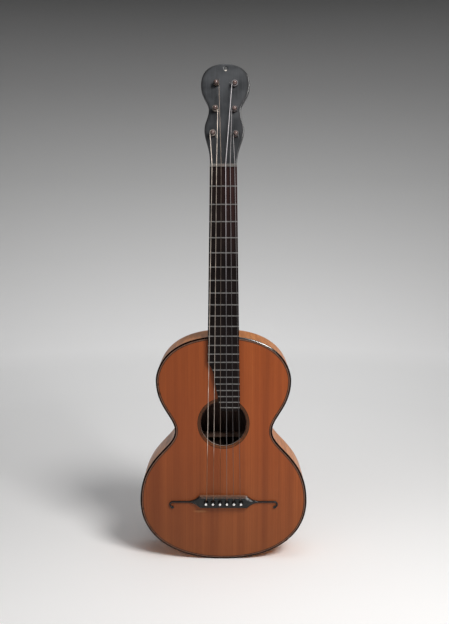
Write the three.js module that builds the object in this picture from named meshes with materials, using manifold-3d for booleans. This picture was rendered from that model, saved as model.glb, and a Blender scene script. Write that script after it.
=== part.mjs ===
import * as THREE from 'three';
import { mergeGeometries, mergeVertices } from 'three/addons/utils/BufferGeometryUtils.js';
import Module from 'manifold-3d';

// A romantic six-string guitar with a raised fingerboard, friction pegs and a pin bridge.
// Millimetres. +Z runs up the neck, -Y is the playing side and +X the treble side.
// Y = 0 is the front face of the soundboard and Z = 0 the lowest edge of the body.

// Strings
const scaleLength = 610;
const stringDiameters = [1.1, 0.9, 0.75, 1.0, 0.8, 0.7];
const stringSpreadAtNut = 40.4;
const stringSpreadAtSaddle = 62.7;
const stringHeightAtNut = 0.7;
const stringHeightAtSaddle = 4.6;

// Body
const bodyLength = 430;
const upperBoutWidth = 251;
const upperBoutHeightShare = 0.806;
const waistWidth = 181.5;
const waistHeightShare = 0.5825;
const lowerBoutWidth = 314;
const lowerBoutHeightShare = 0.265;
const depthAtNeck = 84;
const extraDepthAtTail = 6;
const plateThickness = 2.6;
const ribThickness = 2.2;
const bindingWidth = 3;
const liningWidth = 5;
const liningDepth = 9;
const soundholeDiameter = 85;
const boardOverSoundhole = 16.7;

// Blocks and braces
const neckBlockWidth = 60;
const neckBlockLength = 26;
const tailBlockWidth = 50;
const tailBlockLength = 16;
const braceWidth = 7;
const braceDepth = 13;
const braceTipDepth = 4;
const braceBesideSoundhole = 24.5;
const backBraceHeightShares = [0.802, 0.516];

// Neck and fingerboard
const fretCount = 22;
const bodyFret = 12;
const bodyFretOverhang = 1.4;
const boardWidthAtNut = 48.2;
const boardWidthAtEnd = 61.2;
const boardEndOverhang = 6.4;
const boardThickness = 4.8;
const boardRise = 2.2;
const neckDepthAtNut = 16;
const neckDepthAtHeel = 18.5;
const heelLength = 62;
const heelCapLength = 14;
const heelCapWidth = 30;
const nutLength = 5;
const nutRelief = 0.5;

// The bass side of the fingerboard is cut away beyond this fret, in a curve and then a slant
const cutawayFret = 15;
const cutawayCurveLength = 28;
const cutawayCurveEdge = 17.6;
const cutawayEndEdge = 5.5;

// Frets
const fretWidth = 1.4;
const fretHeight = 1;
const tangWidth = 0.5;
const tangDepth = 1.8;

// Head
const headTilt = THREE.MathUtils.degToRad(12);
const headLean = THREE.MathUtils.degToRad(1.4);
const headLength = 183;
const headThickness = 14;
const lowerLobeWidth = 71;
const lowerLobeHeightShare = 0.333;
const headWaistWidth = 57.2;
const headWaistHeightShare = 0.535;
const upperLobeWidth = 87.6;
const upperLobeHeightShare = 0.787;
const hangingHoleDiameter = 6;
const hangingHoleBelowTop = 8.5;

// Pegs: rows up the head as shares of its length, and how far each row stands from the middle line
const pegRowHeightShares = [0.294, 0.539, 0.794];
const pegRowOffsets = [20.5, 17.2, 16.6];
const pegTipRadius = 3.9;
const pegTipLength = 14;
const pegShankRadius = 4.4;
const pegCollarRadius = 5.9;
const pegCollarLength = 3;
const pegNeckLength = 5;
const pegHandleWidth = 24;
const pegHandleLength = 21;
const pegHandleThickness = 8;
const pegHandleRounding = 1.6;
const pegKnobRadius = 2.4;
const windingStart = 9.2;
const windingPitchGap = 0.55;
const windingTurns = [3.5, 3.75, 4, 3.875, 3.25, 3.5];
const windingTail = 8;

// Bridge, saddle and pins
const bridgeSpan = 205;
const bridgeBlockWidth = 89;
const bridgeShoulderLength = 22;
const bridgeAboveSaddle = 1.9;
const bridgeBelowSaddle = 21.4;
const bridgeHeight = 8.4;
const armWidth = 2.8;
const armHeight = 3;
const armBelowSaddle = 11.2;
const curlRadius = 5.2;
const curlTurn = THREE.MathUtils.degToRad(200);
const curlBallWidth = 4.8;
// The saddle stands a little beyond the string length, so that a pressed string still sounds true
const saddleSetback = 1.4;
const saddleWidth = 1.3;
const saddleLength = 84;
const saddleSlotDepth = 3.5;
const pinSpacing = 13.1;
const pinBelowSaddle = 11.25;
const pinShankRadius = 2.6;
const pinTipRadius = 2;
const pinLength = 22;
const pinHeadRadius = 4.3;
const pinHeadHeight = 5.2;
const pinHeadLift = 2.2;

// Clearances
const glueLine = 0.3;
const fretSeat = 0.1;
const stringGap = 0.3;
const windingGap = 0.45;
const pegFit = 0.3;
const pinFit = 0.35;
const cutOverrun = 5;
const weldDistance = 1e-4;

// Steps that round shapes are made in
const outlineSteps = 8;
const soundholeSteps = 20;
const pinHoleSteps = 6;
const pegHoleSteps = 7;
const cutawaySteps = 4;
const neckSteps = 12;
const heelSteps = 9;
const shoulderSteps = 7;
const curlSteps = 9;
const pegSteps = 12;
const knobSteps = 6;
const pinSteps = 10;
const stringSides = 6;
const windingSteps = 12;

// Finishes
const finish = (color, roughness, metalness = 0) =>
  new THREE.MeshStandardMaterial({ color, roughness, metalness, flatShading: true });
const spruce = finish(0xb5733d, 0.45);
const maple = finish(0xc79a5e, 0.4);
const ebonised = finish(0x2a2a2c, 0.5);
const ebony = finish(0x241c1a, 0.55);
const innerWood = finish(0xc9a273, 0.8);
const bone = finish(0xe6dcc4, 0.5);
const fretMetal = finish(0xb9b4a8, 0.35, 0.9);
const pegWood = finish(0x6b4338, 0.35);
const gut = finish(0xd9cfb8, 0.5);
const woundSilk = finish(0xb8b2a8, 0.4, 0.6);

const wasm = await Module();
wasm.setup();

// Shared corners are joined and triangles with no area are dropped
function weld(geometry) {
  const bare = new THREE.BufferGeometry();
  bare.setAttribute('position', geometry.getAttribute('position').clone());
  bare.setIndex(geometry.index);
  const merged = mergeVertices(bare, weldDistance);
  const corners = merged.index.array;
  const kept = [];
  for (let i = 0; i < corners.length; i += 3) {
    const [a, b, c] = corners.slice(i, i + 3);
    if (a !== b && b !== c && c !== a) kept.push(a, b, c);
  }
  merged.setIndex(kept);
  return merged;
}

function toSolid(geometry) {
  const welded = weld(geometry);
  return new wasm.Manifold(new wasm.Mesh({
    numProp: 3,
    vertProperties: new Float32Array(welded.getAttribute('position').array),
    triVerts: new Uint32Array(welded.index.array),
  }));
}

function toGeometry(solid) {
  const mesh = solid.getMesh();
  const geometry = new THREE.BufferGeometry();
  geometry.setAttribute('position', new THREE.BufferAttribute(mesh.vertProperties, 3));
  geometry.setIndex(new THREE.BufferAttribute(mesh.triVerts, 1));
  return geometry;
}

const cut = (geometry, ...tools) =>
  toGeometry(tools.reduce((solid, tool) => solid.subtract(toSolid(tool)), toSolid(geometry)));
const join = (geometry, ...others) =>
  toGeometry(others.reduce((solid, other) => solid.add(toSolid(other)), toSolid(geometry)));
const common = (geometry, other) => toGeometry(toSolid(geometry).intersect(toSolid(other)));

// A plate drawn in front view, between a front and a back face given as heights over (x, z)
function slab(shape, front, back) {
  const geometry = new THREE.ExtrudeGeometry(shape, { depth: 1, bevelEnabled: false, curveSegments: 1 });
  geometry.rotateX(Math.PI / 2);
  const corner = geometry.getAttribute('position');
  for (let i = 0; i < corner.count; i += 1) {
    const x = corner.getX(i);
    const z = corner.getZ(i);
    corner.setY(i, THREE.MathUtils.lerp(back(x, z), front(x, z), -corner.getY(i)));
  }
  return geometry;
}

const level = (y) => () => y;

// A round hole as an outline of its own, with twice the given steps
function roundHole(x, z, radius, steps) {
  const circle = new THREE.Path().absarc(x, z, radius, 0, 2 * Math.PI);
  return new THREE.Path(circle.getPoints(steps).slice(0, -1));
}

// A skin over rings of equal point counts, closed by a fan at each end
function loft(rings) {
  const count = rings[0].length;
  const middle = (ring) => ring.reduce((sum, p) => sum.add(p), new THREE.Vector3()).divideScalar(count);
  const points = [...rings.flat(), middle(rings[0]), middle(rings.at(-1))];
  const startMiddle = points.length - 2;
  const endMiddle = points.length - 1;
  const last = (rings.length - 1) * count;
  const corners = [];
  for (let i = 0; i < count; i += 1) {
    const next = (i + 1) % count;
    corners.push(startMiddle, next, i, endMiddle, last + i, last + next);
    for (let row = 0; row < last; row += count) {
      corners.push(row + i, row + next, row + count + i);
      corners.push(row + next, row + count + next, row + count + i);
    }
  }
  const geometry = new THREE.BufferGeometry().setFromPoints(points);
  geometry.setIndex(corners);
  return geometry;
}

// A round tube through a list of points, its rings turned as little as possible on the way
function tube(points, radius, sides) {
  const normal = new THREE.Vector3(1, 0, 0);
  const rings = points.map((point, i) => {
    const before = point.clone().sub(points[Math.max(i - 1, 0)]).normalize();
    const after = points[Math.min(i + 1, points.length - 1)].clone().sub(point).normalize();
    const along = before.add(after).normalize();
    normal.addScaledVector(along, -normal.dot(along)).normalize();
    const across = along.clone().cross(normal);
    return Array.from({ length: sides }, (_, k) => {
      const angle = (2 * Math.PI * k) / sides;
      return point.clone()
        .addScaledVector(normal, radius * Math.cos(angle))
        .addScaledVector(across, radius * Math.sin(angle));
    });
  });
  return loft(rings);
}

const guitar = new THREE.Group();

function piece(name, geometry, material, parent = guitar) {
  const mesh = new THREE.Mesh(geometry, material);
  mesh.name = name;
  parent.add(mesh);
  return mesh;
}

// Body outline: half of it, from the top middle round the treble side to the bottom middle
const outlineHandleShares = [[0.885, 0.213], [0.527, 0.272], [0.249, 0.633], [0.615, 0.596]];

function halfOutline(inset) {
  const [topShares, upperShares, waistShares, tailShares] = outlineHandleShares;
  const top = new THREE.Vector2(0, bodyLength);
  const upper = new THREE.Vector2(upperBoutWidth / 2, bodyLength * upperBoutHeightShare);
  const waist = new THREE.Vector2(waistWidth / 2, bodyLength * waistHeightShare);
  const lower = new THREE.Vector2(lowerBoutWidth / 2, bodyLength * lowerBoutHeightShare);
  const bottom = new THREE.Vector2(0, 0);
  const below = (p, q, share) => new THREE.Vector2(p.x, p.y - share * Math.abs(p.y - q.y));
  const above = (p, q, share) => new THREE.Vector2(p.x, p.y + share * Math.abs(p.y - q.y));
  const beside = (p, q, share) => new THREE.Vector2(share * q.x, p.y);
  const curves = [
    new THREE.CubicBezierCurve(top, beside(top, upper, topShares[0]), above(upper, top, topShares[1]), upper),
    new THREE.CubicBezierCurve(upper, below(upper, waist, upperShares[0]), above(waist, upper, upperShares[1]), waist),
    new THREE.CubicBezierCurve(waist, below(waist, lower, waistShares[0]), above(lower, waist, waistShares[1]), lower),
    new THREE.CubicBezierCurve(lower, below(lower, bottom, tailShares[0]), beside(bottom, lower, tailShares[1]), bottom),
  ];
  const points = [];
  curves.forEach((curve, number) => {
    for (let step = number ? 1 : 0; step <= outlineSteps; step += 1) {
      const along = curve.getTangent(step / outlineSteps);
      const outward = new THREE.Vector2(-along.y, along.x);
      points.push(curve.getPoint(step / outlineSteps).addScaledVector(outward, -inset));
    }
  });
  points[0].x = 0;
  points.at(-1).x = 0;
  return points;
}

const mirrored = (points) => points.map((p) => new THREE.Vector2(-p.x, p.y)).reverse();

function bodyShape(inset) {
  const half = halfOutline(inset);
  return new THREE.Shape([...half, ...mirrored(half).slice(1, -1)].reverse());
}

function ringShape(outerInset, innerInset) {
  const shape = bodyShape(outerInset);
  shape.holes.push(bodyShape(innerInset));
  return shape;
}

function halfWidthAt(height, inset) {
  const points = halfOutline(inset);
  const end = points.findIndex((p) => p.y <= height);
  const [a, b] = [points[end - 1], points[end]];
  return THREE.MathUtils.mapLinear(height, a.y, b.y, a.x, b.x);
}

// The back slopes, so that the body is deeper at the tail than at the neck
const depthAt = (z) => depthAtNeck + extraDepthAtTail * (1 - z / bodyLength);
const aheadOfBack = (distance) => (x, z) => depthAt(z) - distance;
const innerFront = level(plateThickness + glueLine);
const innerBack = aheadOfBack(plateThickness + glueLine);

// Fingerboard places, measured from the tail
const fretDistance = (number) => scaleLength * (1 - 2 ** (-number / 12));
const nutHeight = bodyLength + fretDistance(bodyFret) + bodyFretOverhang;
const saddleHeight = nutHeight - scaleLength - saddleSetback;
const headBase = nutHeight + nutLength;
const boardEnd = nutHeight - fretDistance(fretCount) - boardEndOverhang;
const soundholeHeight = boardEnd + boardOverSoundhole - soundholeDiameter / 2;
const boardFront = -(boardRise + boardThickness);
const fretTop = boardFront - fretSeat - fretHeight;
const trebleEdgeAt = (z) => THREE.MathUtils.mapLinear(z, nutHeight, boardEnd, boardWidthAtNut, boardWidthAtEnd) / 2;
const cutawayTop = nutHeight - fretDistance(cutawayFret);
const cutawayBend = cutawayTop - cutawayCurveLength;

function bassEdgeAt(z) {
  if (z >= cutawayTop) return -trebleEdgeAt(z);
  if (z <= cutawayBend) {
    return THREE.MathUtils.mapLinear(z, cutawayBend, boardEnd, -cutawayCurveEdge, -cutawayEndEdge);
  }
  const turn = ((cutawayTop - z) / cutawayCurveLength) * (Math.PI / 2);
  return THREE.MathUtils.lerp(-trebleEdgeAt(cutawayTop), -cutawayCurveEdge, Math.sin(turn));
}

// Places of the strings and pins
const stringNames = ['6', '5', '4', '3', '2', '1'];
const stringNumbers = stringNames.map((_, i) => i);
const spread = (i, width) => width * (i / (stringNames.length - 1) - 0.5);
const pinHeight = saddleHeight - pinBelowSaddle;
const pinX = (i) => spread(i, pinSpacing * (stringNames.length - 1));
const pinHoleRadius = pinShankRadius + pinFit;
const saddleTop = fretTop - stringHeightAtSaddle;
const bridgeTop = -glueLine - bridgeHeight;
const laneHeight = (i) => pinHeight + pinHoleRadius + stringDiameters[i] / 2;

// A pin hole with a lane on its upper side, where the string comes up beside the pin
function pinHole(i) {
  const wide = stringDiameters[i] / 2 + stringGap;
  const laneTop = laneHeight(i) + wide;
  const start = Math.acos(wide / pinHoleRadius);
  const hole = new THREE.Path();
  hole.absarc(pinX(i), pinHeight, pinHoleRadius, start, Math.PI - start, true);
  hole.lineTo(pinX(i) - wide, laneTop);
  hole.lineTo(pinX(i) + wide, laneTop);
  return hole.getPoints(pinHoleSteps);
}

function soundboard() {
  const shape = bodyShape(bindingWidth + glueLine);
  shape.holes.push(roundHole(0, soundholeHeight, soundholeDiameter / 2, soundholeSteps));
  stringNumbers.forEach((i) => shape.holes.push(new THREE.Path(pinHole(i))));
  piece('soundboard', slab(shape, level(0), level(plateThickness)), spruce);
}

function backPlate() {
  const shape = bodyShape(bindingWidth + glueLine);
  piece('back_plate', slab(shape, aheadOfBack(plateThickness), aheadOfBack(0)), maple);
}

function bindings() {
  const shape = ringShape(0, bindingWidth);
  piece('front_binding', slab(shape, level(0), level(plateThickness)), ebony);
  piece('back_binding', slab(shape, aheadOfBack(plateThickness), aheadOfBack(0)), ebony);
}

// Each rib is bent round one side and meets the other at the middle of the top and the tail
function ribs() {
  const outer = halfOutline(0);
  const inner = halfOutline(ribThickness);
  [outer, inner].forEach((points) => {
    points[0].x = glueLine / 2;
    points.at(-1).x = glueLine / 2;
  });
  const treble = [...outer, ...inner.reverse()];
  piece('rib_treble', slab(new THREE.Shape(treble), innerFront, innerBack), maple);
  piece('rib_bass', slab(new THREE.Shape(mirrored(treble)), innerFront, innerBack), maple);
}

const liningInset = ribThickness + glueLine;
const insideLining = liningInset + liningWidth + glueLine;
const liningBehindFront = plateThickness + glueLine + liningDepth;

function linings() {
  const shape = ringShape(liningInset, liningInset + liningWidth);
  piece('front_lining', slab(shape, innerFront, level(liningBehindFront)), innerWood);
  piece('back_lining', slab(shape, aheadOfBack(liningBehindFront), innerBack), innerWood);
}

// Blocks fill the ends of the body between the plates and are notched round the linings
function endBlock(name, width, low, high) {
  const shape = new THREE.Shape([
    new THREE.Vector2(-width / 2, low),
    new THREE.Vector2(width / 2, low),
    new THREE.Vector2(width / 2, high),
    new THREE.Vector2(-width / 2, high),
  ]);
  const hollow = slab(bodyShape(liningInset), level(-cutOverrun), aheadOfBack(-cutOverrun));
  const notch = ringShape(-cutOverrun, insideLining);
  const frontNotch = slab(notch, level(-cutOverrun), level(liningBehindFront + glueLine));
  const backNotch = slab(notch, aheadOfBack(liningBehindFront + glueLine), aheadOfBack(-cutOverrun));
  const block = common(slab(shape, innerFront, innerBack), hollow);
  piece(name, cut(block, frontNotch, backNotch), innerWood);
}

// A bar across a plate, thinned towards both tips, from the side that is glued to the plate
function brace(name, height, gluedFace, direction) {
  const edges = [height - braceWidth / 2, height + braceWidth / 2];
  const reach = Math.min(...edges.map((z) => halfWidthAt(z, insideLining)));
  const bend = reach - 2 * braceDepth;
  const shape = new THREE.Shape([
    new THREE.Vector2(-reach, 0),
    new THREE.Vector2(reach, 0),
    new THREE.Vector2(reach, braceTipDepth),
    new THREE.Vector2(bend, braceDepth),
    new THREE.Vector2(-bend, braceDepth),
    new THREE.Vector2(-reach, braceTipDepth),
  ]);
  const bar = new THREE.ExtrudeGeometry(shape, { depth: braceWidth, bevelEnabled: false });
  if (direction < 0) bar.rotateZ(Math.PI);
  bar.translate(0, gluedFace, edges[0]);
  piece(name, bar, innerWood);
}

// The top has a bar on either side of the soundhole
function braces() {
  ['upper', 'lower'].forEach((place, i) => {
    const offset = soundholeDiameter / 2 + braceBesideSoundhole;
    brace(`top_brace_${place}`, soundholeHeight + (i ? -offset : offset), plateThickness + glueLine, 1);
    const height = bodyLength * backBraceHeightShares[i];
    const glued = depthAt(height + braceWidth / 2) - plateThickness - glueLine;
    brace(`back_brace_${place}`, height, glued, -1);
  });
}

function fingerboard() {
  const bassEdge = [nutHeight, cutawayTop];
  for (let step = 1; step <= cutawaySteps; step += 1) {
    bassEdge.push(cutawayTop - (cutawayCurveLength * step) / cutawaySteps);
  }
  bassEdge.push(boardEnd);
  const shape = new THREE.Shape([
    ...bassEdge.map((z) => new THREE.Vector2(bassEdgeAt(z), z)),
    new THREE.Vector2(trebleEdgeAt(boardEnd), boardEnd),
    new THREE.Vector2(trebleEdgeAt(nutHeight), nutHeight),
  ]);
  const board = slab(shape, level(boardFront), level(-boardRise));
  const slotWidth = tangWidth + 2 * glueLine;
  const slotDepth = tangDepth + glueLine;
  const slots = [];
  for (let number = 1; number <= fretCount; number += 1) {
    const slot = new THREE.BoxGeometry(boardWidthAtEnd + 2 * cutOverrun, 2 * slotDepth, slotWidth);
    slots.push(slot.translate(0, boardFront, nutHeight - fretDistance(number)));
  }
  piece('fingerboard', cut(board, mergeGeometries(slots)), ebony);
}

// A T-shaped wire: a low round crown on the board and a tang in its slot
function frets() {
  const arc = new THREE.Path();
  arc.absellipse(0, 0, fretWidth / 2, fretHeight, Math.PI, 0, true);
  const crown = arc.getPoints(5).slice(0, -1);
  const profile = [
    ...crown,
    new THREE.Vector2(tangWidth / 2, 0),
    new THREE.Vector2(tangWidth / 2, -tangDepth),
    new THREE.Vector2(-tangWidth / 2, -tangDepth),
    new THREE.Vector2(-tangWidth / 2, 0),
  ];
  for (let number = 1; number <= fretCount; number += 1) {
    const height = nutHeight - fretDistance(number);
    const left = Math.max(bassEdgeAt(height + fretWidth / 2), bassEdgeAt(height - fretWidth / 2));
    const wire = new THREE.ExtrudeGeometry(new THREE.Shape(profile), {
      depth: trebleEdgeAt(height) - left,
      bevelEnabled: false,
    });
    wire.rotateY(Math.PI / 2).rotateX(Math.PI);
    piece(`fret_${String(number).padStart(2, '0')}`, wire, fretMetal)
      .position.set(left, boardFront - fretSeat, height);
  }
}

// One ring of the neck: flat under the fingerboard, round behind, and turning into the heel,
// whose sides run in to the width of its cap
function neckRing(height, depth, heelShare) {
  const width = trebleEdgeAt(height);
  const front = -boardRise + glueLine;
  const ring = [];
  for (let step = 0; step <= neckSteps; step += 1) {
    const across = Math.cos((Math.PI * step) / neckSteps);
    const back = Math.sin((Math.PI * step) / neckSteps);
    const side = step * 2 === neckSteps ? 0 : Math.sign(across);
    const heel = side * THREE.MathUtils.lerp(width, heelCapWidth / 2, back);
    const x = THREE.MathUtils.lerp(width * across, heel, heelShare);
    ring.push(new THREE.Vector3(x, front + depth * back, height));
  }
  return ring;
}

function neck() {
  const heelTop = bodyLength + heelLength;
  const curveLength = heelLength - heelCapLength;
  const heelDepth = depthAtNeck + boardRise - glueLine;
  const rings = [neckRing(headBase, neckDepthAtNut, 0), neckRing(heelTop, neckDepthAtHeel, 0)];
  for (let step = 1; step <= heelSteps; step += 1) {
    const turn = (Math.PI / 2) * (step / heelSteps);
    const depth = THREE.MathUtils.lerp(neckDepthAtHeel, heelDepth, 1 - Math.cos(turn));
    rings.push(neckRing(heelTop - curveLength * Math.sin(turn), depth, Math.sin(turn)));
  }
  rings.push(neckRing(bodyLength - cutOverrun, heelDepth, 1));
  const body = slab(bodyShape(-glueLine), level(-cutOverrun), aheadOfBack(-cutOverrun));
  piece('neck', cut(loft(rings.reverse()), body), ebonised);
}

// The head tilts back from the nut and was set on slightly out of line
const head = new THREE.Group();
head.position.set(0, -boardRise, headBase);
head.rotation.set(-headTilt, headLean, 0);
head.updateMatrix();
guitar.add(head);

const pegHoleRadius = pegShankRadius + pegFit;
const pegs = [
  { side: -1, row: 0, touch: -1 },
  { side: -1, row: 1, touch: 1 },
  { side: -1, row: 2, touch: 1 },
  { side: 1, row: 2, touch: -1 },
  { side: 1, row: 1, touch: -1 },
  { side: 1, row: 0, touch: -1 },
].map((peg) => ({
  ...peg,
  x: peg.side * pegRowOffsets[peg.row],
  height: headLength * pegRowHeightShares[peg.row],
}));

function headstock() {
  const shape = new THREE.Shape();
  const foot = -headThickness;
  const halfNut = boardWidthAtNut / 2;
  const lobe = lowerLobeWidth / 2;
  const waist = headWaistWidth / 2;
  const crown = upperLobeWidth / 2;
  const lobeHeight = headLength * lowerLobeHeightShare;
  const waistHeight = headLength * headWaistHeightShare;
  const crownHeight = headLength * upperLobeHeightShare;
  const flareShares = [0.5, 0.28];
  const waistInShares = [0.4, 0.42];
  const waistOutShares = [0.3, 0.5];
  const domeShare = 0.64;
  const between = (low, high, share) => low + (high - low) * share;
  shape.moveTo(halfNut, foot);
  shape.lineTo(halfNut, 0);
  shape.bezierCurveTo(
    halfNut, between(0, lobeHeight, flareShares[0]),
    lobe, between(lobeHeight, 0, flareShares[1]), lobe, lobeHeight,
  );
  shape.bezierCurveTo(
    lobe, between(lobeHeight, waistHeight, waistInShares[0]),
    waist, between(waistHeight, lobeHeight, waistInShares[1]), waist, waistHeight,
  );
  shape.bezierCurveTo(
    waist, between(waistHeight, crownHeight, waistOutShares[0]),
    crown, between(crownHeight, waistHeight, waistOutShares[1]), crown, crownHeight,
  );
  shape.bezierCurveTo(
    crown, between(crownHeight, headLength, domeShare),
    crown * domeShare, headLength, 0, headLength,
  );
  const half = shape.getPoints(outlineSteps).slice(0, -1);
  const outline = new THREE.Shape([...half, new THREE.Vector2(0, headLength), ...mirrored(half)]);
  const hangingHole = headLength - hangingHoleBelowTop;
  outline.holes.push(roundHole(0, hangingHole, hangingHoleDiameter / 2, pegHoleSteps));
  pegs.forEach((peg) => outline.holes.push(roundHole(peg.x, peg.height, pegHoleRadius, pegHoleSteps)));
  const plate = slab(outline, level(0), level(headThickness));
  // The foot of the head is sawn level, where it is glued to the end of the neck
  const size = upperLobeWidth;
  const waste = new THREE.BoxGeometry(size, size, size).translate(0, 0, glueLine - size / 2);
  waste.applyMatrix4(head.matrix.clone().setPosition(0, 0, 0).invert());
  piece('headstock', cut(plate, waste), ebonised, head);
}

// A turned shank with a rounded tip in front of the head and a flat handle behind it
function tuningPegs() {
  const back = headThickness + glueLine;
  const handleStart = back + pegCollarLength + pegNeckLength;
  const handleEnd = handleStart + pegHandleLength;
  const roundTip = new THREE.Path();
  roundTip.absellipse(0, pegTipRadius - pegTipLength, pegTipRadius, pegTipRadius, -Math.PI / 2, 0);
  const profile = [
    ...roundTip.getPoints(3),
    new THREE.Vector2(pegTipRadius, 0),
    new THREE.Vector2(pegShankRadius, back),
    new THREE.Vector2(pegCollarRadius, back),
    new THREE.Vector2(pegCollarRadius, back + pegCollarLength / 2),
    new THREE.Vector2(pegShankRadius, back + pegCollarLength),
    new THREE.Vector2(pegShankRadius, handleStart + pegHandleRounding),
    new THREE.Vector2(0, handleStart + pegHandleRounding),
  ];
  profile[0].x = 0;
  const shank = new THREE.LatheGeometry(profile, pegSteps);
  const middle = (handleStart + handleEnd) / 2;
  const outline = new THREE.Shape();
  const halfWidth = pegHandleWidth / 2 - pegHandleRounding;
  const halfLength = pegHandleLength / 2 - pegHandleRounding;
  outline.absellipse(0, middle, halfWidth, halfLength, 0, 2 * Math.PI);
  const handle = new THREE.ExtrudeGeometry(new THREE.Shape(outline.getPoints(8).slice(0, -1)), {
    depth: pegHandleThickness - 2 * pegHandleRounding,
    bevelThickness: pegHandleRounding,
    bevelSize: pegHandleRounding,
    bevelSegments: 2,
  });
  handle.translate(0, 0, pegHandleRounding - pegHandleThickness / 2);
  const knob = new THREE.SphereGeometry(pegKnobRadius, knobSteps, knobSteps);
  knob.translate(0, handleEnd, 0);
  const geometry = join(shank, handle, knob);
  pegs.forEach((peg, i) => {
    piece(`peg_${stringNames[i]}`, geometry, pegWood, head).position.set(peg.x, 0, peg.height);
  });
}

// The nut stands on the end of the neck and holds each string in a notch
const stringAtNut = (i) => fretTop - stringHeightAtNut - stringDiameters[i] / 2;

function nut() {
  const half = boardWidthAtNut / 2;
  const top = Math.min(...stringNumbers.map(stringAtNut)) - nutRelief;
  const outline = [new THREE.Vector2(half, -boardRise), new THREE.Vector2(-half, -boardRise)];
  outline.push(new THREE.Vector2(-half, top));
  stringNumbers.forEach((i) => {
    const x = spread(i, stringSpreadAtNut);
    const wide = stringDiameters[i] / 2 + stringGap;
    const bottom = stringAtNut(i) + wide;
    outline.push(new THREE.Vector2(x - wide, top), new THREE.Vector2(x - wide, bottom));
    outline.push(new THREE.Vector2(x + wide, bottom), new THREE.Vector2(x + wide, top));
  });
  outline.push(new THREE.Vector2(half, top));
  const geometry = new THREE.ExtrudeGeometry(new THREE.Shape(outline), {
    depth: nutLength - glueLine,
    bevelEnabled: false,
  });
  piece('nut', geometry, bone).position.z = nutHeight + glueLine;
}

// Half of the bridge as stations from the middle outwards, each with its place, the direction
// across it, its width, its height and how much of its top is bevelled
function bridgeStations() {
  const top = saddleHeight + bridgeAboveSaddle;
  const bottom = saddleHeight - bridgeBelowSaddle;
  const arm = saddleHeight - armBelowSaddle;
  const blockBevelShare = 0.1;
  const armBevelShare = 0.45;
  const stations = [];
  const block = bridgeBlockWidth / 2;
  for (let step = 0; step <= shoulderSteps; step += 1) {
    const fall = (1 - step / shoulderSteps) ** 2;
    const high = THREE.MathUtils.lerp(arm + armWidth / 2, top, fall);
    const low = THREE.MathUtils.lerp(arm - armWidth / 2, bottom, fall);
    stations.push({
      x: block + (bridgeShoulderLength * step) / shoulderSteps,
      z: (high + low) / 2,
      lean: 0,
      width: high - low,
      height: THREE.MathUtils.lerp(armHeight, bridgeHeight, fall),
      bevelShare: THREE.MathUtils.lerp(armBevelShare, blockBevelShare, fall),
    });
  }
  const curlX = bridgeSpan / 2 - armWidth / 2 - curlRadius;
  const ballStartShare = 0.7;
  const ballFullShare = 0.75;
  for (let step = 0; step <= curlSteps; step += 1) {
    const share = step / curlSteps;
    const lean = curlTurn * share;
    const swell = Math.max(0, (share - ballStartShare) / (1 - ballStartShare));
    stations.push({
      x: curlX + curlRadius * Math.sin(lean),
      z: arm - curlRadius + curlRadius * Math.cos(lean),
      lean,
      width: THREE.MathUtils.lerp(armWidth, curlBallWidth, Math.sin(swell * Math.PI * ballFullShare)),
      height: armHeight,
      bevelShare: armBevelShare,
    });
  }
  return stations;
}

function bridge() {
  const sideShare = 0.65;
  const ring = ({ x, z, lean, width, height, bevelShare }, side) => {
    const topShare = 1 - 2 * bevelShare;
    const sectionShares = [[-1, 0], [1, 0], [1, sideShare], [topShare, 1], [-topShare, 1], [-1, sideShare]];
    return sectionShares.map(([across, up]) => new THREE.Vector3(
      side * (x + Math.sin(lean) * across * (width / 2)),
      -glueLine - height * up,
      z + Math.cos(lean) * across * (width / 2),
    ));
  };
  const stations = bridgeStations();
  const treble = stations.map((station) => ring(station, 1));
  const bass = stations.map((station) => ring(station, -1)).reverse();
  const slot = new THREE.BoxGeometry(
    saddleLength + 2 * glueLine, 2 * saddleSlotDepth, saddleWidth + 2 * glueLine,
  );
  slot.translate(0, bridgeTop, saddleHeight);
  const holes = stringNumbers.map((i) => {
    const shape = new THREE.Shape(pinHole(i).reverse());
    return slab(shape, level(-bridgeHeight - cutOverrun), level(cutOverrun));
  });
  piece('bridge', cut(loft([...bass, ...treble]), slot, ...holes), ebony);
}

function saddle() {
  const height = bridgeTop + saddleSlotDepth - glueLine - saddleTop - stringGap;
  const bar = new THREE.BoxGeometry(saddleLength, height, saddleWidth);
  piece('saddle', bar, bone).position.set(0, saddleTop + stringGap + height / 2, saddleHeight);
}

// A tapered pin in each hole, with a round head that stands clear of the string
function bridgePins() {
  const front = bridgeTop - pinHeadLift;
  const headShares = [[0, 1], [0.55, 0.93], [0.88, 0.72], [1, 0.5], [0.85, 0.2]];
  const profile = [
    ...headShares.map(([out, up]) => new THREE.Vector2(pinHeadRadius * out, -pinHeadHeight * up)),
    new THREE.Vector2(pinShankRadius, 0),
    new THREE.Vector2(pinShankRadius, pinHeadLift),
    new THREE.Vector2(pinTipRadius, pinLength - pinTipRadius),
    new THREE.Vector2(pinTipRadius / 2, pinLength),
    new THREE.Vector2(0, pinLength),
  ];
  const geometry = new THREE.LatheGeometry(profile, pinSteps);
  stringNumbers.forEach((i) => {
    piece(`bridge_pin_${stringNames[i]}`, geometry, ebony).position.set(pinX(i), front, pinHeight);
  });
}

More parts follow.
